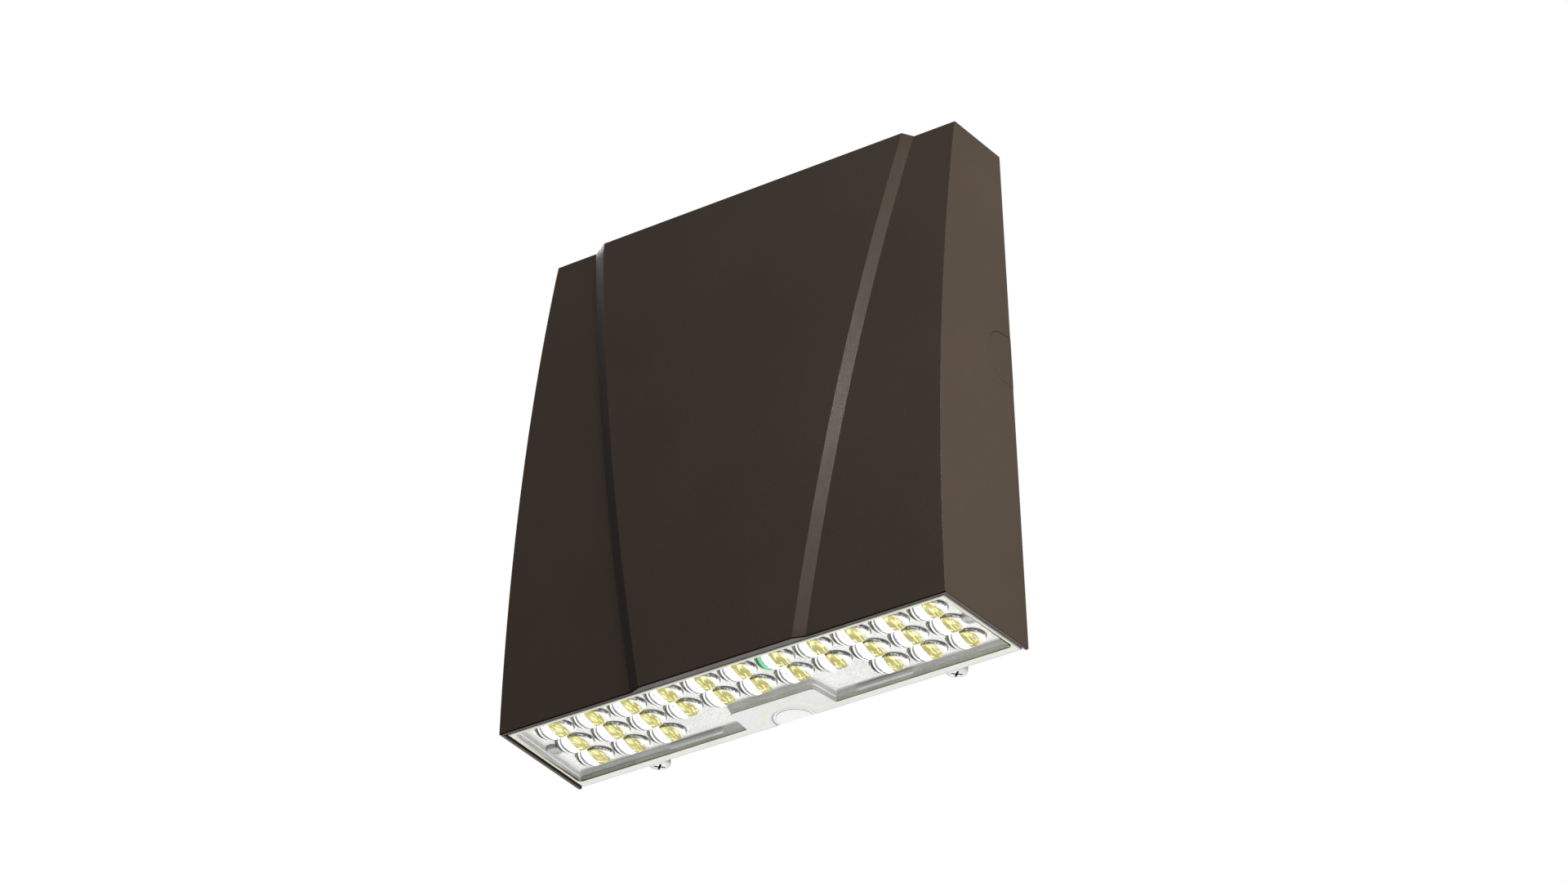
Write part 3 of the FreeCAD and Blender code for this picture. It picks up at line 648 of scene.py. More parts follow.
hood = {
    "Hood Height": 280.5,
    "Hood Depth": 69.5,
    "Half Width": 130.0,
    "Bow Radius": 1340.0,
    "Side Draft": math.tan(math.radians(1.85)),
    "Side Lean": math.tan(math.radians(1.70)),
    "Foot Bottom": 50.0,
    "Foot Top": 96.3,
    "Panel Bevel": 6.2,
    "Panel Rise": 2.3,
}
hoodWall = {
    "side": 2.0, "top": 2.5, "topRise": 3.3, "rows": 56, "edge": 0.55,
    "edgeLean": 0.2,        # how far a face of the lower front edge's rounding turns down and forwards to get the painted shade
}
fittings = {
    "shelfLow": 3.6, "shelfHigh": 12.9, "shelfBite": 1.0, "cut": 20.0,
    "chamberTop": 9.9, "chamberGrow": 1.6,
    "notchRadius": 10.8, "notchIn": 3.2, "notchOut": 5.0,
    "sideNotchRadius": 14.0, "sideNotchFlare": 14.8, "sideNotchCentre": -6.8, "sideNotchOut": 2.0,
    "sideNotchStarts": (-140.0, 100.0),
    "seats": [(82.0, 59.0, 67.0), (38.0, 54.0, 127.0)],     # x, depth and height of the case screws' seats
    "seatRadius": 4.5, "seatScrew": 2.0, "seatHole": 5.5,
    "lugX": 80.0, "lugHalf": 3.0, "lugRadius": 6.0, "lugIn": 12.0, "lugHeight": 269.0, "lugBore": 3.05,
    "tongueX": 86.0, "tongueHalf": 8.0, "tongueLow": 7.0, "tongueTop": 9.6, "tongueReach": 10.0,
    "tongueRoot": -1.5, "tongueRamp": 0.7, "screwBehind": 6.3, "screwRadius": 2.5,
    "slotRadius": 2.85, "slotLow": 5.0, "slotHeight": 8.0,
    "shelfHoleX": 42.8, "shelfHoleY": -18.9, "shelfHoleRadius": 6.04,
}


def hoodHalfWidth(y, z, inset=0.0):
    return hood["Half Width"] + y * hood["Side Draft"] - z * hood["Side Lean"] - inset


def frontLine(z):
    return hood["Bow Radius"] - hood["Hood Depth"] - math.sqrt(hood["Bow Radius"] ** 2 - z ** 2)


def hoodBlank():
    # an unplaced shell: each point only says which side, depth, wall and level it belongs to
    shape = bmesh.new()
    layers = [shape.verts.layers.float.new(name)
              for name in ("side", "depth", "inset", "rise", "crest", "onPanel", "level")]

    def point(side, depth, onPanel, crest, outer, level):
        vert = shape.verts.new((side * (2 - onPanel - crest / 2), -depth * 2, level / 10))
        inset, rise = (0.0, crest * depth) if outer else (hoodWall["side"], 0.0)
        for layer, value in zip(layers, (side, depth, inset, rise, crest, onPanel, level)):
            vert[layer] = value
        return vert

    # side, depth, onPanel, crest
    columns = [(-1, 0, 0, 0), (-1, 1, 0, 0), (-1, 1, 1, 0), (-1, 1, 1, 1),
               (1, 1, 1, 1), (1, 1, 1, 0), (1, 1, 0, 0), (1, 0, 0, 0)]
    count = hoodWall["rows"]
    skins, tops = [], []
    # whether it is the outside, its top and how much higher the panel ends
    height = hood["Hood Height"]
    walls = [(True, height, hoodWall["topRise"]), (False, height - hoodWall["top"], 0)]
    for outer, top, raised in walls:
        skins.append([[point(*column, outer, top * row / count + (raised * column[3] if row == count else 0))
                       for column in columns] for row in range(count + 1)])
    for rows in skins:
        for low, high in zip(rows, rows[1:]):
            for index in range(len(columns) - 1):
                shape.faces.new((low[index], low[index + 1], high[index + 1], high[index]))
    outside, inside = skins
    for index in range(len(columns) - 1):
        shape.faces.new((outside[0][index], inside[0][index], inside[0][index + 1], outside[0][index + 1]))
    for index in (0, len(columns) - 1):
        for row in range(count):
            (first, second), (third, fourth) = outside[row:row + 2], inside[row:row + 2]
            shape.faces.new((first[index], second[index], fourth[index], third[index]))
    # top wall, with the panel carried over it
    for rows, (outer, top, raised) in zip(skins, walls):
        front, rear = rows[-1], [rows[-1][0]]
        for side, _, onPanel, crest in columns[2:6]:
            rear.append(point(side, 0, onPanel, crest, outer, top + raised * crest))
        rear.append(front[-1])
        tops.append(rear)
        for index in range(len(rear) - 1):
            shape.faces.new((rear[index], front[index + 1], front[index + 2], rear[index + 1]))
    for index in range(len(tops[0]) - 1):
        shape.faces.new((tops[0][index], tops[0][index + 1], tops[1][index + 1], tops[1][index]))
    return showShape("hoodBlank", shape)


def hoodFormTree():
    tree, given, result = newFieldTree("hoodForm", hood)

    def own(name):
        return named(tree, name, "FLOAT")

    level = own("level")
    radius = given["Bow Radius"] + own("rise") * given["Panel Rise"] - own("inset")
    y = (given["Bow Radius"] - given["Hood Depth"] - calc("SQRT", radius ** 2 - level ** 2)) * own("depth")
    edge = given["Half Width"] - (level * given["Side Lean"] - y * given["Side Draft"]) - own("inset")
    share = calc("MINIMUM", level, given["Hood Height"]) / given["Hood Height"]
    foot = given["Foot Bottom"] + (given["Foot Top"] - given["Foot Bottom"]) * share
    foot = foot - own("crest") * given["Panel Bevel"]
    x = (foot * own("onPanel") + edge * (1 - own("onPanel"))) * own("side")
    y, z = y - drawing["wallGap"], level - drawing["entryHeight"]
    spot = wire(tree, "ShaderNodeCombineXYZ", {0: x, 1: y, 2: z})
    moved = {"Geometry": given["Geometry"], "Position": scaled(spot, 0.001)}
    feed(result["Geometry"], wire(tree, "GeometryNodeSetPosition", moved))
    return tree


def shelfTool():
    shape = bmesh.new()
    bite, low = hoodWall["side"] - fittings["shelfBite"], fittings["shelfLow"]
    front = frontLine(0) + bite
    rear, ahead = hoodHalfWidth(0, 0, bite), hoodHalfWidth(front, 0, bite)
    outline = [(-rear, 0, low), (rear, 0, low), (ahead, front, low), (-ahead, front, low)]
    addPrism(shape, outline, (0, 0, fittings["shelfHigh"] - low))
    shelf = showShape("shelf", shape)
    tool = bmesh.new()
    notch, behind, out, cut = (fittings[name] for name in ("notchRadius", "notchIn", "notchOut", "cut"))
    addPrism(tool, recessOutline(fittings["chamberGrow"], low - 1), (0, 0, fittings["chamberTop"] - low + 1))
    addRod(tool, (0, -behind, 0), (0, 0, 1), notch, cut, 64)
    addPrism(tool, [(-notch, -behind, 0), (notch, -behind, 0), (notch, out, 0), (-notch, out, 0)], (0, 0, cut))
    for x in bothSides(fittings["shelfHoleX"]):
        addRod(tool, (x, fittings["shelfHoleY"], 0), (0, 0, 1), fittings["shelfHoleRadius"], cut)
    carve(shelf, showShape("shelfCut", tool))
    return shelf


def fittingTool():
    # screw seats, hinge lugs and latch tongues, rooted in the walls
    shape, drills = bmesh.new(), bmesh.new()
    forwards = (0, -1, 0)
    for x, seat, z in fittings["seats"]:
        length = -frontLine(z) - seat - hoodWall["side"] / 2
        for side in bothSides(x):
            addRod(shape, (side, -seat, z), forwards, fittings["seatRadius"], length)
            addRod(drills, (side, -seat + 1, z), forwards, fittings["seatScrew"], fittings["seatHole"], 24)
    half, radius, depth, height = (fittings[name] for name in ("lugHalf", "lugRadius", "lugIn", "lugHeight"))
    root = hood["Hood Height"] - 1
    lug = arc((-depth, height), radius, math.pi, math.pi, 16)
    outline = [(-depth - radius, root), *lug, (-depth + radius, root)]
    for x in bothSides(fittings["lugX"]):
        addPrism(shape, [(x - half, y, z) for y, z in outline], (2 * half, 0, 0))
        addRod(drills, (x - half - 1, -depth, height), (1, 0, 0), fittings["lugBore"], 2 * half + 2, 48)
    low, top, reach, root = (fittings["tongue" + name] for name in ("Low", "Top", "Reach", "Root"))
    slot, behind = fittings["slotRadius"], fittings["screwBehind"]
    side = [(root, low), (behind - fittings["screwRadius"], low), (reach, low + fittings["tongueRamp"]),
            (reach, top), (root, top)]
    for x in bothSides(fittings["tongueX"]):
        left = x - fittings["tongueHalf"]
        addPrism(shape, [(left, y, z) for y, z in side], (2 * fittings["tongueHalf"], 0, 0))
        outline = [(x + slot, 2 * reach), (x - slot, 2 * reach)] + arc((x, behind), slot, math.pi, math.pi, 16)
        addPrism(drills, [(x, y, fittings["slotLow"]) for x, y in outline], (0, 0, fittings["slotHeight"]))
    tool = showShape("fittings", shape)
    carve(tool, showShape("drills", drills))
    return tool


def sideNotchTool():
    shape = bmesh.new()
    flare, out, middle = fittings["sideNotchFlare"], fittings["sideNotchOut"], drawing["entryHeight"]
    bite = arc((fittings["sideNotchCentre"], middle), fittings["sideNotchRadius"], math.pi / 2, math.pi, 32)
    outline = [(out, middle + flare), *bite, (out, middle - flare)]
    for start in fittings["sideNotchStarts"]:
        addPrism(shape, [(start, y, z) for y, z in outline], (2 * fittings["cut"], 0, 0))
    return showShape("sideNotch", shape)


def makeHood():
    blank = hoodBlank()
    piece = grow("hoodCasting", blank, hoodFormTree(), hood)
    discard(blank)
    roundEdges(piece, hoodWall["edge"], 3)
    settle(piece)
    carve(piece, sideNotchTool())
    carve(piece, shelfTool(), "UNION")
    carve(piece, fittingTool(), "UNION")
    settle(piece, "bronze", 14)
    piece.data.materials.append(finishes["bronzeEdge"])
    lowest = place(0, 0, hoodWall["edge"]).z
    for face in piece.data.polygons:
        # the rounding of the lower front edge, which gets a dark finish as painted shade
        if face.center.z < lowest and max(face.normal.y, face.normal.z) < -hoodWall["edgeLean"]:
            face.material_index = 1
    mount(piece, "front_housing")


# Optic plate: flange, stepped recess and window.

plate = {
    "low": 0.3, "top": 2.9, "gap": 1.2, "rear": 1.0,
    "windowLow": 5.3, "windowTop": 7.3, "panWall": 1.2,
    "halfRear": 124.0, "halfFront": 120.8, "front": 63.4, "recessRear": 7.4, "corner": 1.4, "tightCorner": 0.8,
    "tabRear": 27.3, "tabFront": 25.0, "tabReach": 25.0, "tabCorner": 3.5,
    "notchIn": 3.2, "notchRadius": 10.8, "lip": 0.32, "edgeShadeLine": (0.45, 0.8),
    "sealRear": -4.5, "sealBite": 14.2, "sealInset": 1.0, "sealWidth": 0.85,
    "postX": 119.4, "postY": 35.5,
    # a post's rings: radius, depth from the window
    "postRings": [(4.0, 0.3), (4.0, -2.0), (3.5, -2.5), (2.0, -2.5), (1.8, -2.2)],
    # the recess wall: outwards from the window's outline, depth from the flange's face, how far the rear wall
    # steps in over its jogs, finish of the band below; the darker step and foot bands are painted shade
    "profile": [
        (1.15, 0.0, 0.02, "recessStep"), (0.95, 0.5, 0.02, "recessWall"), (0.85, 2.0, 0.02, "recessWall"),
        (0.75, 2.25, 0.8, "recessStep"), (0.15, 2.55, 0.8, "recessWall"), (-0.35, 4.4, 0.02, "recessStep"),
        (-0.75, 4.85, 0.02, "recessFoot"), (-2.0, 5.0, 0.02, "frost"),
    ],
    "jogFrom": 39.0, "jogTo": 70.0,
}
plateFinishes = ["flange", "sealLine", "recessStep", "recessWall", "frost", "post", "recessFoot"]


def recessOutline(outwards, z, jog=0.0):
    rear, front = -plate["recessRear"] + outwards, -plate["front"] - outwards
    wide, ahead = plate["halfRear"] + outwards, plate["halfFront"] + outwards
    corner, tight = plate["corner"] + max(outwards, 0), plate["tightCorner"]
    tabRear, tabFront = plate["tabRear"] - outwards, plate["tabFront"] - outwards
    tabReach = -plate["tabReach"] + outwards
    rearX = tabRear + rear * (plate["tabRear"] - plate["tabFront"]) / plate["tabReach"]
    tabCorner = max(plate["tabCorner"] - outwards, tight)
    start, end = plate["jogFrom"], plate["jogTo"]
    steps = [(end, 0), (end, jog), (start, jog), (start, 0)] if jog else []
    right = [(x, rear - inward, 0) for x, inward in reversed(steps)]
    left = [(-x, y, 0) for x, y, _ in reversed(right)]
    return roundedLoop([(-wide, rear, corner), *left, (-rearX, rear, tight), (-tabFront, tabReach, tabCorner),
                        (tabFront, tabReach, tabCorner), (rearX, rear, tight), *right,
                        (wide, rear, corner), (ahead, front, corner), (-ahead, front, corner)], z)


def bittenOutline(inset, rear, radius, z):
    # the hood's inside as a trapezium, with a round bite in its rear edge for the bottom conduit cover
    gap = hoodWall["side"] + plate["gap"] + inset
    front, centre = frontLine(0) + gap, -plate["notchIn"]
    rear, radius = rear - inset, radius + inset
    wide, ahead = hoodHalfWidth(rear, 0, gap), hoodHalfWidth(front, 0, gap)
    dip = math.asin(min(0.0, rear - centre) / radius)
    bite = arc((0, centre), radius, math.pi - dip, math.pi + 2 * dip, 32)
    if rear > centre:
        bite = [(-radius, rear), *bite, (radius, rear)]
    return [(x, y, z) for x, y in [(-wide, rear), *bite, (wide, rear), (ahead, front), (-ahead, front)]]


def flangeOutline(inset, z):
    return bittenOutline(inset, -plate["rear"], plate["notchRadius"], z)


def sealOutline(inset, z):
    return bittenOutline(inset, plate["sealRear"], plate["sealBite"], z)


def fillBetween(shape, outer, inner, slot=0):
    # a flat face between two loops
    edges = []
    for loop in (outer, inner):
        for index, vert in enumerate(loop):
            pair = (vert, loop[(index + 1) % len(loop)])
            edges.append(shape.edges.get(pair) or shape.edges.new(pair))
    for face in bmesh.ops.triangle_fill(shape, use_beauty=True, use_dissolve=False, edges=edges)["geom"]:
        if isinstance(face, bmesh.types.BMFace):
            face.material_index = slot


def makePlate():
    shape = bmesh.new()
    low, top, lip, inset, wall = (plate[name] for name in ("low", "top", "lip", "sealInset", "panWall"))
    index = {finish: number for number, finish in enumerate(plateFinishes)}
    outerTop = addRing(shape, flangeOutline(0, top))
    outerMid = addRing(shape, flangeOutline(0, low + lip))
    outerLow = addRing(shape, flangeOutline(lip, low))
    sealOut = addRing(shape, sealOutline(inset, low))
    sealIn = addRing(shape, sealOutline(inset + plate["sealWidth"], low))
    bridge(shape, outerTop, outerMid)
    bridge(shape, outerMid, outerLow, index["post"])
    loops = []
    for outwards, depth, jog, finish in plate["profile"]:
        loops.append(addRing(shape, recessOutline(outwards, low + depth, jog)))
    for first, second, row in zip(loops, loops[1:], plate["profile"]):
        bridge(shape, first, second, index[row[-1]])
    rearShadeSlots = (index["recessStep"], index["recessFoot"])
    for face in shape.faces:
        # only the rear wall gets the painted shade of the darker step and foot bands, the ends look plain
        face.normal_update()
        if face.material_index in rearShadeSlots and abs(face.normal.x) > abs(face.normal.y):
            face.material_index = index["recessWall"]
    shape.faces.new(loops[-1]).material_index = index["frost"]
    lineOut, lineIn = (addRing(shape, flangeOutline(edge, low)) for edge in plate["edgeShadeLine"])
    bridge(shape, outerLow, lineOut)
    # a darker line of painted shade along the flange's lip
    bridge(shape, lineOut, lineIn, index["recessStep"])
    fillBetween(shape, lineIn, sealOut)
    fillBetween(shape, sealOut, sealIn, index["sealLine"])
    fillBetween(shape, sealIn, loops[0])
    panFoot, panTop = (addRing(shape, recessOutline(wall, z)) for z in (top, plate["windowTop"]))
    fillBetween(shape, outerTop, panFoot)
    bridge(shape, panFoot, panTop)
    shape.faces.new(panTop)
    for x in bothSides(plate["postX"]):
        rings = []
        for radius, z in plate["postRings"]:
            outline = circle((x, -plate["postY"]), radius, 32)
            rings.append(addRing(shape, [(u, v, plate["windowLow"] + z) for u, v in outline]))
        addStack(shape, rings, index["post"])
    piece = showShape("opticPlate", shape)
    for finish in plateFinishes:
        piece.data.materials.append(finishes[finish])
    settle(piece, sharp=24)
    mount(piece, "optic_plate")


# Optics: two lobes side by side with a crease between them, set out in rows.

lobe = {"shift": 2.4, "radiusX": 7.4, "radiusY": 7.5, "height": 4.95, "spokes": 48, "rings": 9, "root": 0.25,
        "floorProud": 0.1, "floorRim": 1.05}


def lobeReach(turn):
    # how far the foot of the two lobes reaches in one direction
    dx, dy = math.cos(turn), math.sin(turn)
    shift = lobe["shift"] if dx >= 0 else -lobe["shift"]
    a = (dx / lobe["radiusX"]) ** 2 + (dy / lobe["radiusY"]) ** 2
    b = -2 * dx * shift / lobe["radiusX"] ** 2
    c = (shift / lobe["radiusX"]) ** 2 - 1
    return (-b + math.sqrt(b * b - 4 * a * c)) / (2 * a)


def lobeHeight(x, y):
    left, right = (1 - ((x - shift) / lobe["radiusX"]) ** 2 - (y / lobe["radiusY"]) ** 2
                   for shift in bothSides(lobe["shift"]))
    return lobe["height"] * math.sqrt(max(0.0, left, right))


def opticBody(name, domed):
    # a closed lens or the thin oval under it, about its own middle on the window
    shape = bmesh.new()
    local = shape.verts.layers.float_vector.new("opticLocal")

    def surface(x, y):
        return -lobeHeight(x, y) if domed else -lobe["floorProud"]

    def point(x, y, z, share):
        vert = shape.verts.new((x / 1000, y / 1000, z / 1000))
        vert[local] = (x / (lobe["shift"] + lobe["radiusX"]), y / lobe["radiusY"], share)
        return vert

    # the floor reaches past the lens's foot to carry the ring of painted shade
    rim = 1.0 if domed else lobe["floorRim"]
    sizes = [(rim, True)] + ([] if domed else [(rim, False)])
    sizes += [(math.cos(math.pi / 2 * ring / lobe["rings"]), False) for ring in range(lobe["rings"])]
    rings = []
    for size, isRoot in sizes:
        ring = []
        for spoke in range(lobe["spokes"]):
            turn = math.tau * spoke / lobe["spokes"]
            reach = lobeReach(turn) * size
            x, y = reach * math.cos(turn), reach * math.sin(turn)
            ring.append(point(x, y, lobe["root"] if isRoot else surface(x, y), size))
        rings.append(ring)
    tip, back = point(0, 0, surface(0, 0), 0), point(0, 0, lobe["root"], 0)
    for first, second in zip(rings, rings[1:]):
        bridge(shape, first, second)
    for index, vert in enumerate(rings[-1]):
        after = (index + 1) % lobe["spokes"]
        shape.faces.new((vert, rings[-1][after], tip))
        shape.faces.new((rings[0][after], rings[0][index], back))
    return showShape(name, shape)


def scatter(points, sample, finish, turn=None):
    # the sample on every point, realized and painted
    tree = points.tree
    shape = wire(tree, "GeometryNodeObjectInfo", {"Object": sample}, "Geometry")
    copies = {"Points": points, "Instance": shape, "Rotation": turn}
    spread = wire(tree, "GeometryNodeInstanceOnPoints", copies)
    real = wire(tree, "GeometryNodeRealizeInstances", {0: spread})
    return wire(tree, "GeometryNodeSetMaterial", {"Geometry": real, "Material": finish})


def opticFieldTree(values):
    tree, given, result = newFieldTree("opticField", values)
    spanX, spanY = given["Pitch X"] * (given["Columns"] - 1), given["Pitch Y"] * (given["Rows"] - 1)
    sizes = {"Size X": spanX, "Size Y": spanY, "Vertices X": given["Columns"], "Vertices Y": given["Rows"]}
    grid = wire(tree, "GeometryNodeMeshGrid", sizes, "Mesh")
    start = place(0, 0, plate["windowLow"])
    shift = wire(tree, "ShaderNodeCombineXYZ", {1: start.y - (spanY * 0.5 + given["First Row"]), 2: start.z})
    x, y, _ = split(wire(tree, "GeometryNodeInputPosition"))
    rearRow = calc("GREATER_THAN", y, given["Pitch Y"] * 0.5)
    nearMiddle = calc("LESS_THAN", calc("ABSOLUTE", x), given["Bare Half"])
    bare = {"Geometry": grid, "Selection": rearRow * nearMiddle}
    field = wire(tree, "GeometryNodeDeleteGeometry", bare, domain="POINT")
    moved = wire(tree, "GeometryNodeSetPosition", {"Geometry": field, "Offset": shift})
    feed(result["Geometry"], scatter(moved, given["Optic"], given["Finish"]))
    return tree


opticLayers = [
    # name, whether it is domed, finish, slot
    ("opticLenses", True, "clear", "clear_optic"),
    ("opticFloors", False, "flash", "led"),
]


def makeOptics():
    for name, domed, finish, slot in opticLayers:
        sample = opticBody(name + "Sample", domed)
        holder = showMesh(name + "Holder", bpy.data.meshes.new(name))
        values = {**optics, "Optic": sample, "Finish": finishes[finish]}
        piece = grow(name, holder, opticFieldTree(values), values)
        discard(sample, holder)
        settle(piece, sharp=20)
        mount(piece, "optic_plate")


# Bottom conduit cover: a half disc with a stepped rim.

bottomCover = {
    "rear": -1.0, "centre": -3.2, "rearShare": 0.35,
    # radius and height of each outline, from the back to the face
    "steps": [(10.55, 9.6), (10.55, 3.2), (10.62, 2.8), (10.62, 0.75), (10.4, 0.55), (9.62, 0.55), (9.55, 1.0),
              (9.3, 1.0), (9.22, 0.45), (9.05, 0.3)],
}


def makeBottomCover():
    shape = bmesh.new()
    widest = max(radius for radius, _ in bottomCover["steps"])
    rings = []
    for radius, z in bottomCover["steps"]:
        rear = bottomCover["rear"] - (widest - radius) * bottomCover["rearShare"]
        rim = arc((0, bottomCover["centre"]), radius, math.pi, math.pi, 36)
        rings.append(addRing(shape, [(x, y, z) for x, y in [(-radius, rear), *rim, (radius, rear)]]))
    addStack(shape, rings)
    dress(showShape("bottomCover", shape), "coverFace", "bottom_entry_cover")


# Cast and folded pieces with their edges eased.

eased = [
    # node, name, finish, width of the rounded edges
    ("wall_plate", "wallPlate", "bronze", 0.35),
    ("box_frame", "boxFrame", "bronze", 0.45),
    ("side_entry_cover_left", "sideCoverLeft", "bronze", 0.2),
    ("side_entry_cover_right", "sideCoverRight", "bronze", 0.2),
    ("conduit_plugs", "conduitPlugs", "pinSteel", 0.35),
    ("terminal_block", "terminalBlock", "terminal", 0.4),
]


def easeEdges(node, name, finish, width):
    shape = bmesh.new()
    shape.from_mesh(frame["nodes"][node].data)
    bmesh.ops.remove_doubles(shape, verts=shape.verts, dist=1e-6)
    bmesh.ops.dissolve_limit(shape, angle_limit=math.radians(1), verts=shape.verts, edges=shape.edges)
    piece = showShape(name, shape)
    roundEdges(piece, width, 2)
    dress(piece, finish, node, 14)


# Turned pieces and the screws, which one tree sets out.

def turned(profile, sides=40, closed=False):
    # profile holds (radius, height) pairs; a closed one is a ring round the axis
    shape = bmesh.new()
    rings = []
    for radius, height in profile:
        spokes = arc((0, 0), radius, math.pi / sides, math.tau, sides)[:sides if radius else 1]
        rings.append([shape.verts.new((x / 1000, y / 1000, height / 1000)) for x, y in spokes])
    for first, second in list(zip(rings, rings[1:])) + ([(rings[-1], rings[0])] if closed else []):
        if len(first) == len(second):
            bridge(shape, first, second)
            continue
        tip, ring = (first[0], second) if len(first) == 1 else (second[0], first)
        for index, vert in enumerate(ring):
            shape.faces.new((vert, ring[(index + 1) % sides], tip))
    return shape


def crossTool(arm, blade, depth, top):
    shape = bmesh.new()
    size = Matrix.Diagonal((2 * arm / 1000, 2 * blade / 1000, 2 * depth / 1000, 1))
    lift = Matrix.Translation((0, 0, top / 1000))
    for turn in (math.pi / 4, 3 * math.pi / 4):
        bmesh.ops.create_cube(shape, matrix=lift @ Matrix.Rotation(turn, 4, "Z") @ size)
    blades = showMesh("crossBase", bpy.data.meshes.new("crossBase"))
    carve(blades, showShape("crossTool", shape), "UNION")
    return blades


def threadedRod(major, minor, pitch, low, high, sides=24, steps=5):
    # a screw's shank: the radius follows the thread's phase round and along it
    shape = bmesh.new()
    rings = []
    rows = int((high - low) / pitch * steps)
    for row in range(rows + 1):
        height = low + (high - low) * row / rows
        ease = min(1.0, (height - low) / pitch, (high - height) / pitch)
        ring = []
        for side in range(sides):
            phase = (height / pitch - side / sides) % 1.0
            radius = minor + (major - minor) * (1 - abs(2 * phase - 1)) * ease
            turn = math.tau * side / sides
            x, y = radius * math.cos(turn) / 1000, radius * math.sin(turn) / 1000
            ring.append(shape.verts.new((x, y, height / 1000)))
        rings.append(ring)
    addStack(shape, rings)
    return shape


def fastenerTree(values):
    tree, given, result = newFieldTree("fastenerField", values)
    facing = named(tree, "facing", "FLOAT_VECTOR")
    turn = wire(tree, "FunctionNodeAlignRotationToVector", {"Vector": facing}, axis="Z")
    painted = scatter(given["Geometry"], given["Fastener"], given["Finish"], turn)
    # the faces inside each cross get the dark finish as painted shade
    inCross = named(tree, "recess", "BOOLEAN")
    shaded = {"Geometry": painted, "Selection": inCross, "Material": given["Shade"]}
    feed(result["Geometry"], wire(tree, "GeometryNodeSetMaterial", shaded))
    return tree


# A head's profile holds (radius, height) pairs. A shank is its thread's outer and inner radius, its pitch and
# both ends. A cross is half its arm, half its blade, its depth and the head's top.
heads = {
    "latch": {
        "profile": [(0, -0.6), (2.4, -0.6), (2.4, 0), (5.5, 0), (5.5, 1.9), (5.35, 2.5), (4.9, 3.05),
                    (4.1, 3.5), (3.0, 3.75), (0, 3.8)],
        "shank": (2.45, 2.05, 0.8, -13.9, -0.5), "cross": (2.8, 0.55, 1.7, 3.8),
    },
    "fixing": {
        "profile": [(0, -0.6), (1.8, -0.6), (1.8, 0), (3.8, 0), (3.8, 1.0), (3.55, 1.6), (2.9, 2.1),
                    (2.0, 2.35), (0, 2.4)],
        "shank": (1.9, 1.6, 0.7, -6.2, -0.5), "cross": (1.9, 0.4, 1.2, 2.4),
    },
    "rivet": {
        "profile": [(0, -3.0), (1.9, -3.0), (1.9, 0), (3.4, 0), (3.35, 0.5), (2.9, 1.1), (1.9, 1.5),
                    (1.25, 1.6), (1.05, 1.3), (0, 1.25)],
    },
    "pin": {
        "profile": [(0, -16.6), (2.5, -16.6), (3.0, -16.1), (3.0, 0), (4.3, 0), (4.6, 0.3), (4.6, 1.2),
                    (4.2, 1.5), (0, 1.5)],
    },
    "ground": {
        "profile": [(0, -0.6), (2.3, -0.6), (2.3, 0), (4.6, 0), (4.6, 2.2), (4.0, 2.8), (0, 2.8)], "sides": 6,
        "shank": (2.4, 2.0, 0.8, -3.0, -0.5), "cross": (1.9, 0.45, 1.2, 2.8),
    },
}


recess = {"around": 0.1, "foot": 0.3, "below": 0.08}     # which faces belong to a cross and get the painted shade: its arm, seat and top


def headSample(kind):
    values = heads[kind]
    sample = showShape(kind + "Sample", turned(values["profile"], values.get("sides", 40)))
    if "shank" in values:
        carve(sample, showShape("shank", threadedRod(*values["shank"])), "UNION")
    if "cross" in values:
        carve(sample, crossTool(*values["cross"]))
    arm, _, _, top = values.get("cross", (0, 0, 0, 0))
    marks = sample.data.attributes.new("recess", "BOOLEAN", "FACE")
    around, foot, below = (recess[name] for name in ("around", "foot", "below"))
    for face, mark in zip(sample.data.polygons, marks.data):
        # the faces that the cross left inside the head, which get the painted shade
        centre = face.center * 1000
        mark.value = centre.xy.length < arm + around and foot < centre.z < top - below
    return sample


def setOut(kind, name, finish, node, places):
    # places holds (point in millimetres, direction that the head faces)
    sample = headSample(kind)
    points = bmesh.new()
    facing = points.verts.layers.float_vector.new("facing")
    for spot, direction in places:
        points.verts.new(place(*spot))[facing] = direction
    holder = showShape(name + "Points", points)
    values = {"Fastener": sample, "Finish": finishes[finish], "Shade": finishes["recessShade"]}
    piece = grow(name, holder, fastenerTree(values), values)
    discard(holder)
    dress(piece, None, node)
    discard(sample)


fastening = {
    "latchHeight": 6.7, "latchX": 86.0, "latchY": 6.3,
    "caseScrews": [(82.0, -57.0, 67.0), (38.0, -52.0, 127.0)],
    "rivetY": 1.0, "rivetIn": 16.0, "rivetLevels": (20.8, 246.0),
    "pinStart": 72.6, "pinY": -12.0, "pinHeight": 269.0,
    "ground": (50.0, 9.0, 52.0),
}


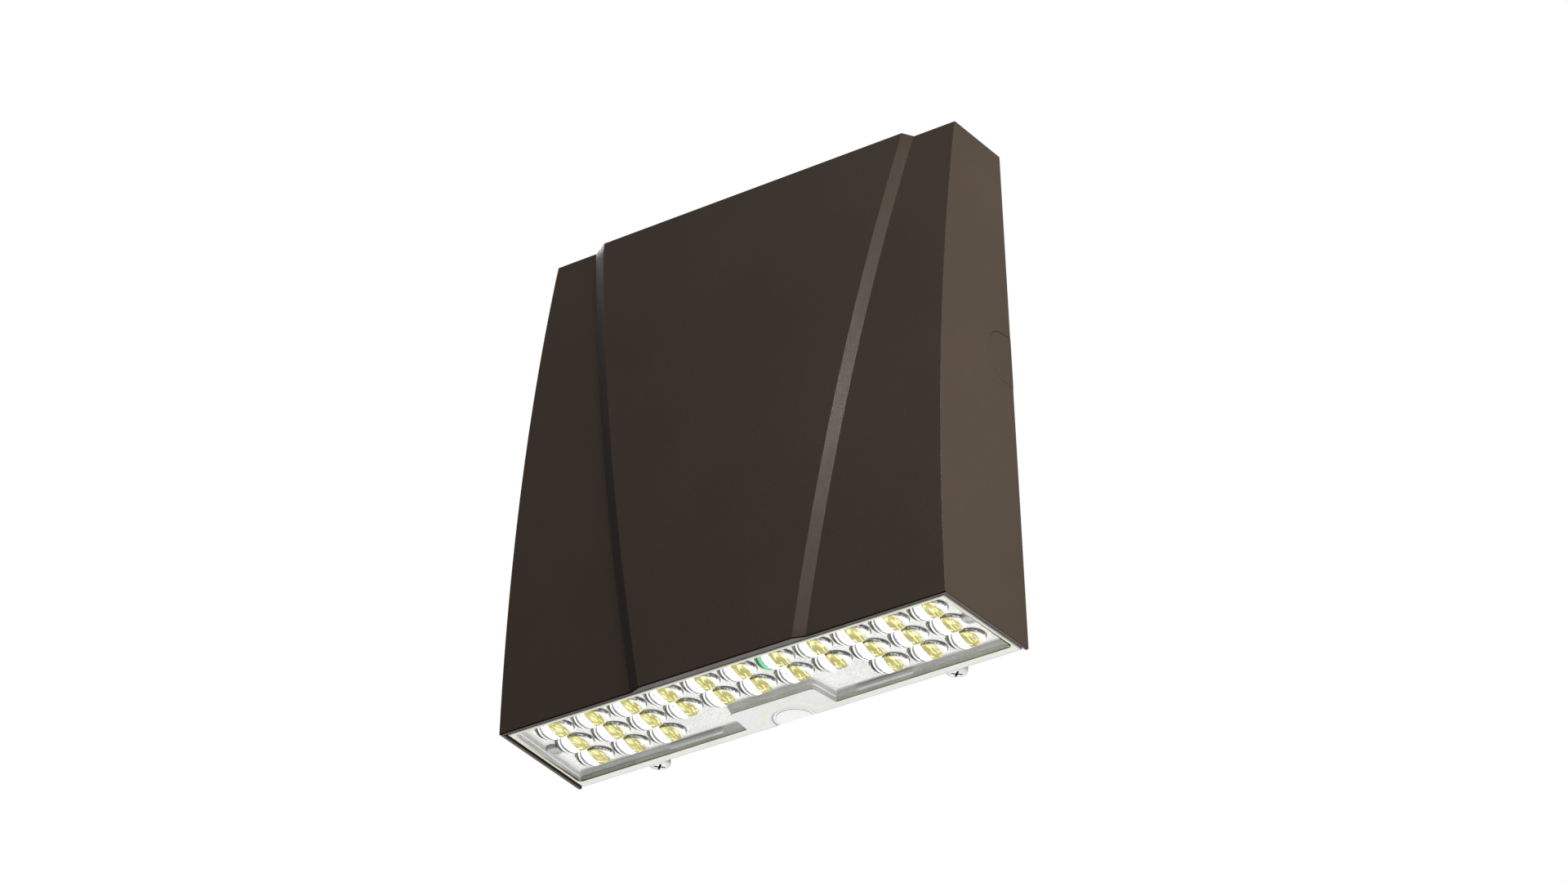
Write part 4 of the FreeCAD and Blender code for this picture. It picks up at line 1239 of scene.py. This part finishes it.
def makeFasteners():
    where = fastening
    for side, word in ((-1, "left"), (1, "right")):
        spot = (side * where["latchX"], where["latchY"], where["latchHeight"])
        setOut("latch", "latchScrew" + word.title(), "zincFlake", "latch_screw_" + word, [(spot, (0, 0, -1))])
    setOut("fixing", "fixingScrews", "steel", "fixing_screws",
           [((side, y, z), (0, 1, 0)) for x, y, z in where["caseScrews"] for side in bothSides(x)])
    setOut("rivet", "plateRivets", "pinSteel", "plate_rivets",
           [((side, where["rivetY"], z), (0, -1, 0)) for z in where["rivetLevels"]
            for side in bothSides(hoodHalfWidth(0, z, where["rivetIn"]))])
    start, y, z = (where[name] for name in ("pinStart", "pinY", "pinHeight"))
    setOut("pin", "hingePins", "pinSteel", "hinge_pins",
           [((side * start, y, z), (-side, 0, 0)) for side in (-1, 1)])
    setOut("ground", "groundScrew", "ground", "ground_screw", [(where["ground"], (0, -1, 0))])


clip = {
    "inner": 3.04, "relief": 3.9, "outer": 5.0, "thickness": 0.8, "mouth": 35.0, "start": 87.4, "steps": 48,
    "lugs": [(-12, 12), (108, 132), (-132, -108)],      # degrees round the pin
}


def makeClips():
    # thin rings, open to the front, with three lugs that bite into the pin's groove
    outline = []
    for step in range(clip["steps"] + 1):
        turn = -180 + clip["mouth"] + (360 - 2 * clip["mouth"]) * step / clip["steps"]
        outline.append((turn, clip["outer"]))
    for turn, _ in reversed(outline[:]):
        lug = any(low <= turn <= high for low, high in clip["lugs"])
        outline.append((turn, clip["inner"] if lug else clip["relief"]))
    ring = [(fastening["pinY"] + reach * math.cos(math.radians(turn)),
             fastening["pinHeight"] + reach * math.sin(math.radians(turn))) for turn, reach in outline]
    shape = bmesh.new()
    for start in (-clip["start"] - clip["thickness"], clip["start"]):
        addPrism(shape, [(start, y, z) for y, z in ring], (clip["thickness"], 0, 0))
    dress(showShape("hingeClips", shape), "pinSteel", "hinge_clips")


plugs = {
    # finish, node, side of the shelf, whether it is a ring, profile
    "ventPlug": (
        "blackPlastic", "vent_plug", 1, False,
        [(0, 9.9), (5.7, 9.9), (6.0, 10.2), (6.0, 12.9), (9.0, 12.9), (9.0, 13.6), (8.6, 14.05), (6.6, 14.1),
         (6.4, 13.7), (5.4, 13.7), (5.2, 14.1), (2.2, 14.1), (2.0, 13.8), (0, 13.8)]),
    "leadGrommet": (
        "rubber", "lead_grommet", -1, True,
        [(2.5, 10.1), (2.7, 9.9), (5.8, 9.9), (6.0, 10.1), (6.0, 12.9), (7.8, 12.9), (8.0, 13.1), (7.9, 13.4),
         (7.6, 13.5), (3.2, 13.5), (2.7, 13.35), (2.5, 13.0)]),
}


def makePlug(name, finish, node, side, closed, profile):
    shape = turned(profile, 48, closed)
    shift = place(side * fittings["shelfHoleX"], fittings["shelfHoleY"], 0)
    bmesh.ops.translate(shape, verts=shape.verts, vec=shift)
    dress(showShape(name, shape), finish, node)


# Driver and surge protector: cases with a lid seam, slotted feet and grooves.

cases = {
    "driverCase": {
        "node": "driver", "half": 75.0, "low": 38.0, "high": 96.0, "seat": -59.0, "depth": 31.0,
        "screwX": 82.0, "lid": 5.0,
    },
    "surgeCase": {
        "node": "surge_protector", "half": 31.0, "low": 112.0, "high": 142.0, "seat": -54.0,
        "depth": 22.0, "screwX": 38.0, "lid": 3.5,
    },
}
caseForm = {
    "corner": 3.0, "seam": 0.45, "edge": 1.5, "edgeMiddle": 0.3,
    "base": [(0.6, 0), (0.2, 0.2), (0, 0.6)],       # inset and height of the lower edge's rounding
    "foot": 14.0, "footThickness": 2.0, "footHalf": 12.0, "footSlot": 2.3,
    "ribs": 5, "ribFrom": 0.9, "ribPitch": 0.09, "ribEnd": 6.0, "ribHalf": 0.9, "ribProud": 0.5,
}


def footOutline(values, side):
    # an ear beside the case with a slot open to its end
    root, end = values["half"] - caseForm["corner"], values["half"] + caseForm["foot"]
    middle = (values["low"] + values["high"]) / 2
    half, slot = caseForm["footHalf"], caseForm["footSlot"]
    outline = [(root, middle - half), (end, middle - half), (end, middle - slot),
               *arc((values["screwX"], middle), slot, -math.pi / 2, -math.pi, 12),
               (end, middle + slot), (end, middle + half), (root, middle + half)]
    return [(side * x, values["seat"], z) for x, z in outline]


def makeCase(name, values):
    half, low, high, seat = (values[size] for size in ("half", "low", "high", "seat"))
    seam, edge, middle = (caseForm[size] for size in ("seam", "edge", "edgeMiddle"))
    top = seat + values["depth"]
    lid = top - values["lid"]
    levels = [(inset, seat + rise) for inset, rise in caseForm["base"]]
    levels += [(0, lid - seam), (seam, lid - seam), (seam, lid + seam), (0, lid + seam), (0, top - edge),
               (edge * middle, top - edge * middle), (edge, top)]
    shape = bmesh.new()
    rings = []
    for inset, y in levels:
        corner, wide = caseForm["corner"] - inset, half - inset
        corners = [(-wide, low + inset, corner), (wide, low + inset, corner),
                   (wide, high - inset, corner), (-wide, high - inset, corner)]
        rings.append(addRing(shape, [(x, y, z) for x, z, _ in roundedLoop(corners, 0)]))
    addStack(shape, rings)
    piece = showShape(name, shape)
    feet, grooves = bmesh.new(), bmesh.new()
    for side in (-1, 1):
        addPrism(feet, footOutline(values, side), (0, caseForm["footThickness"], 0))
    carve(piece, showShape("feet", feet), "UNION")
    width, deep = caseForm["ribHalf"], caseForm["ribProud"]
    foot, head = low + caseForm["ribEnd"], high - caseForm["ribEnd"]
    for rib in range(caseForm["ribs"]):
        for x in bothSides(half * (caseForm["ribFrom"] - caseForm["ribPitch"] * rib)):
            outline = [(x - width, foot), (x + width, foot), (x + width, head), (x - width, head)]
            addPrism(grooves, [(u, top - deep, z) for u, z in outline], (0, 2 * deep, 0))
    carve(piece, showShape("grooves", grooves))
    dress(piece, name, values["node"])


makeStudio()
makeCamera()
makeHood()
makePlate()
makeOptics()
makeBottomCover()
for row in eased:
    easeEdges(*row)
makeFasteners()
makeClips()
for name, values in plugs.items():
    makePlug(name, *values)
for name, values in cases.items():
    makeCase(name, values)
makeFloor()

cadFinish = {
    "optic_seal": "seal", "led_board": "board", "led_packages": "phosphor", "board_screws": "steel",
    "wall_gasket": "foam",
}
for node, finish in cadFinish.items():
    frame["nodes"][node].material_slots[0].link = "OBJECT"
    frame["nodes"][node].material_slots[0].material = finishes[finish]
print("CAD pieces painted:", len(cadFinish))
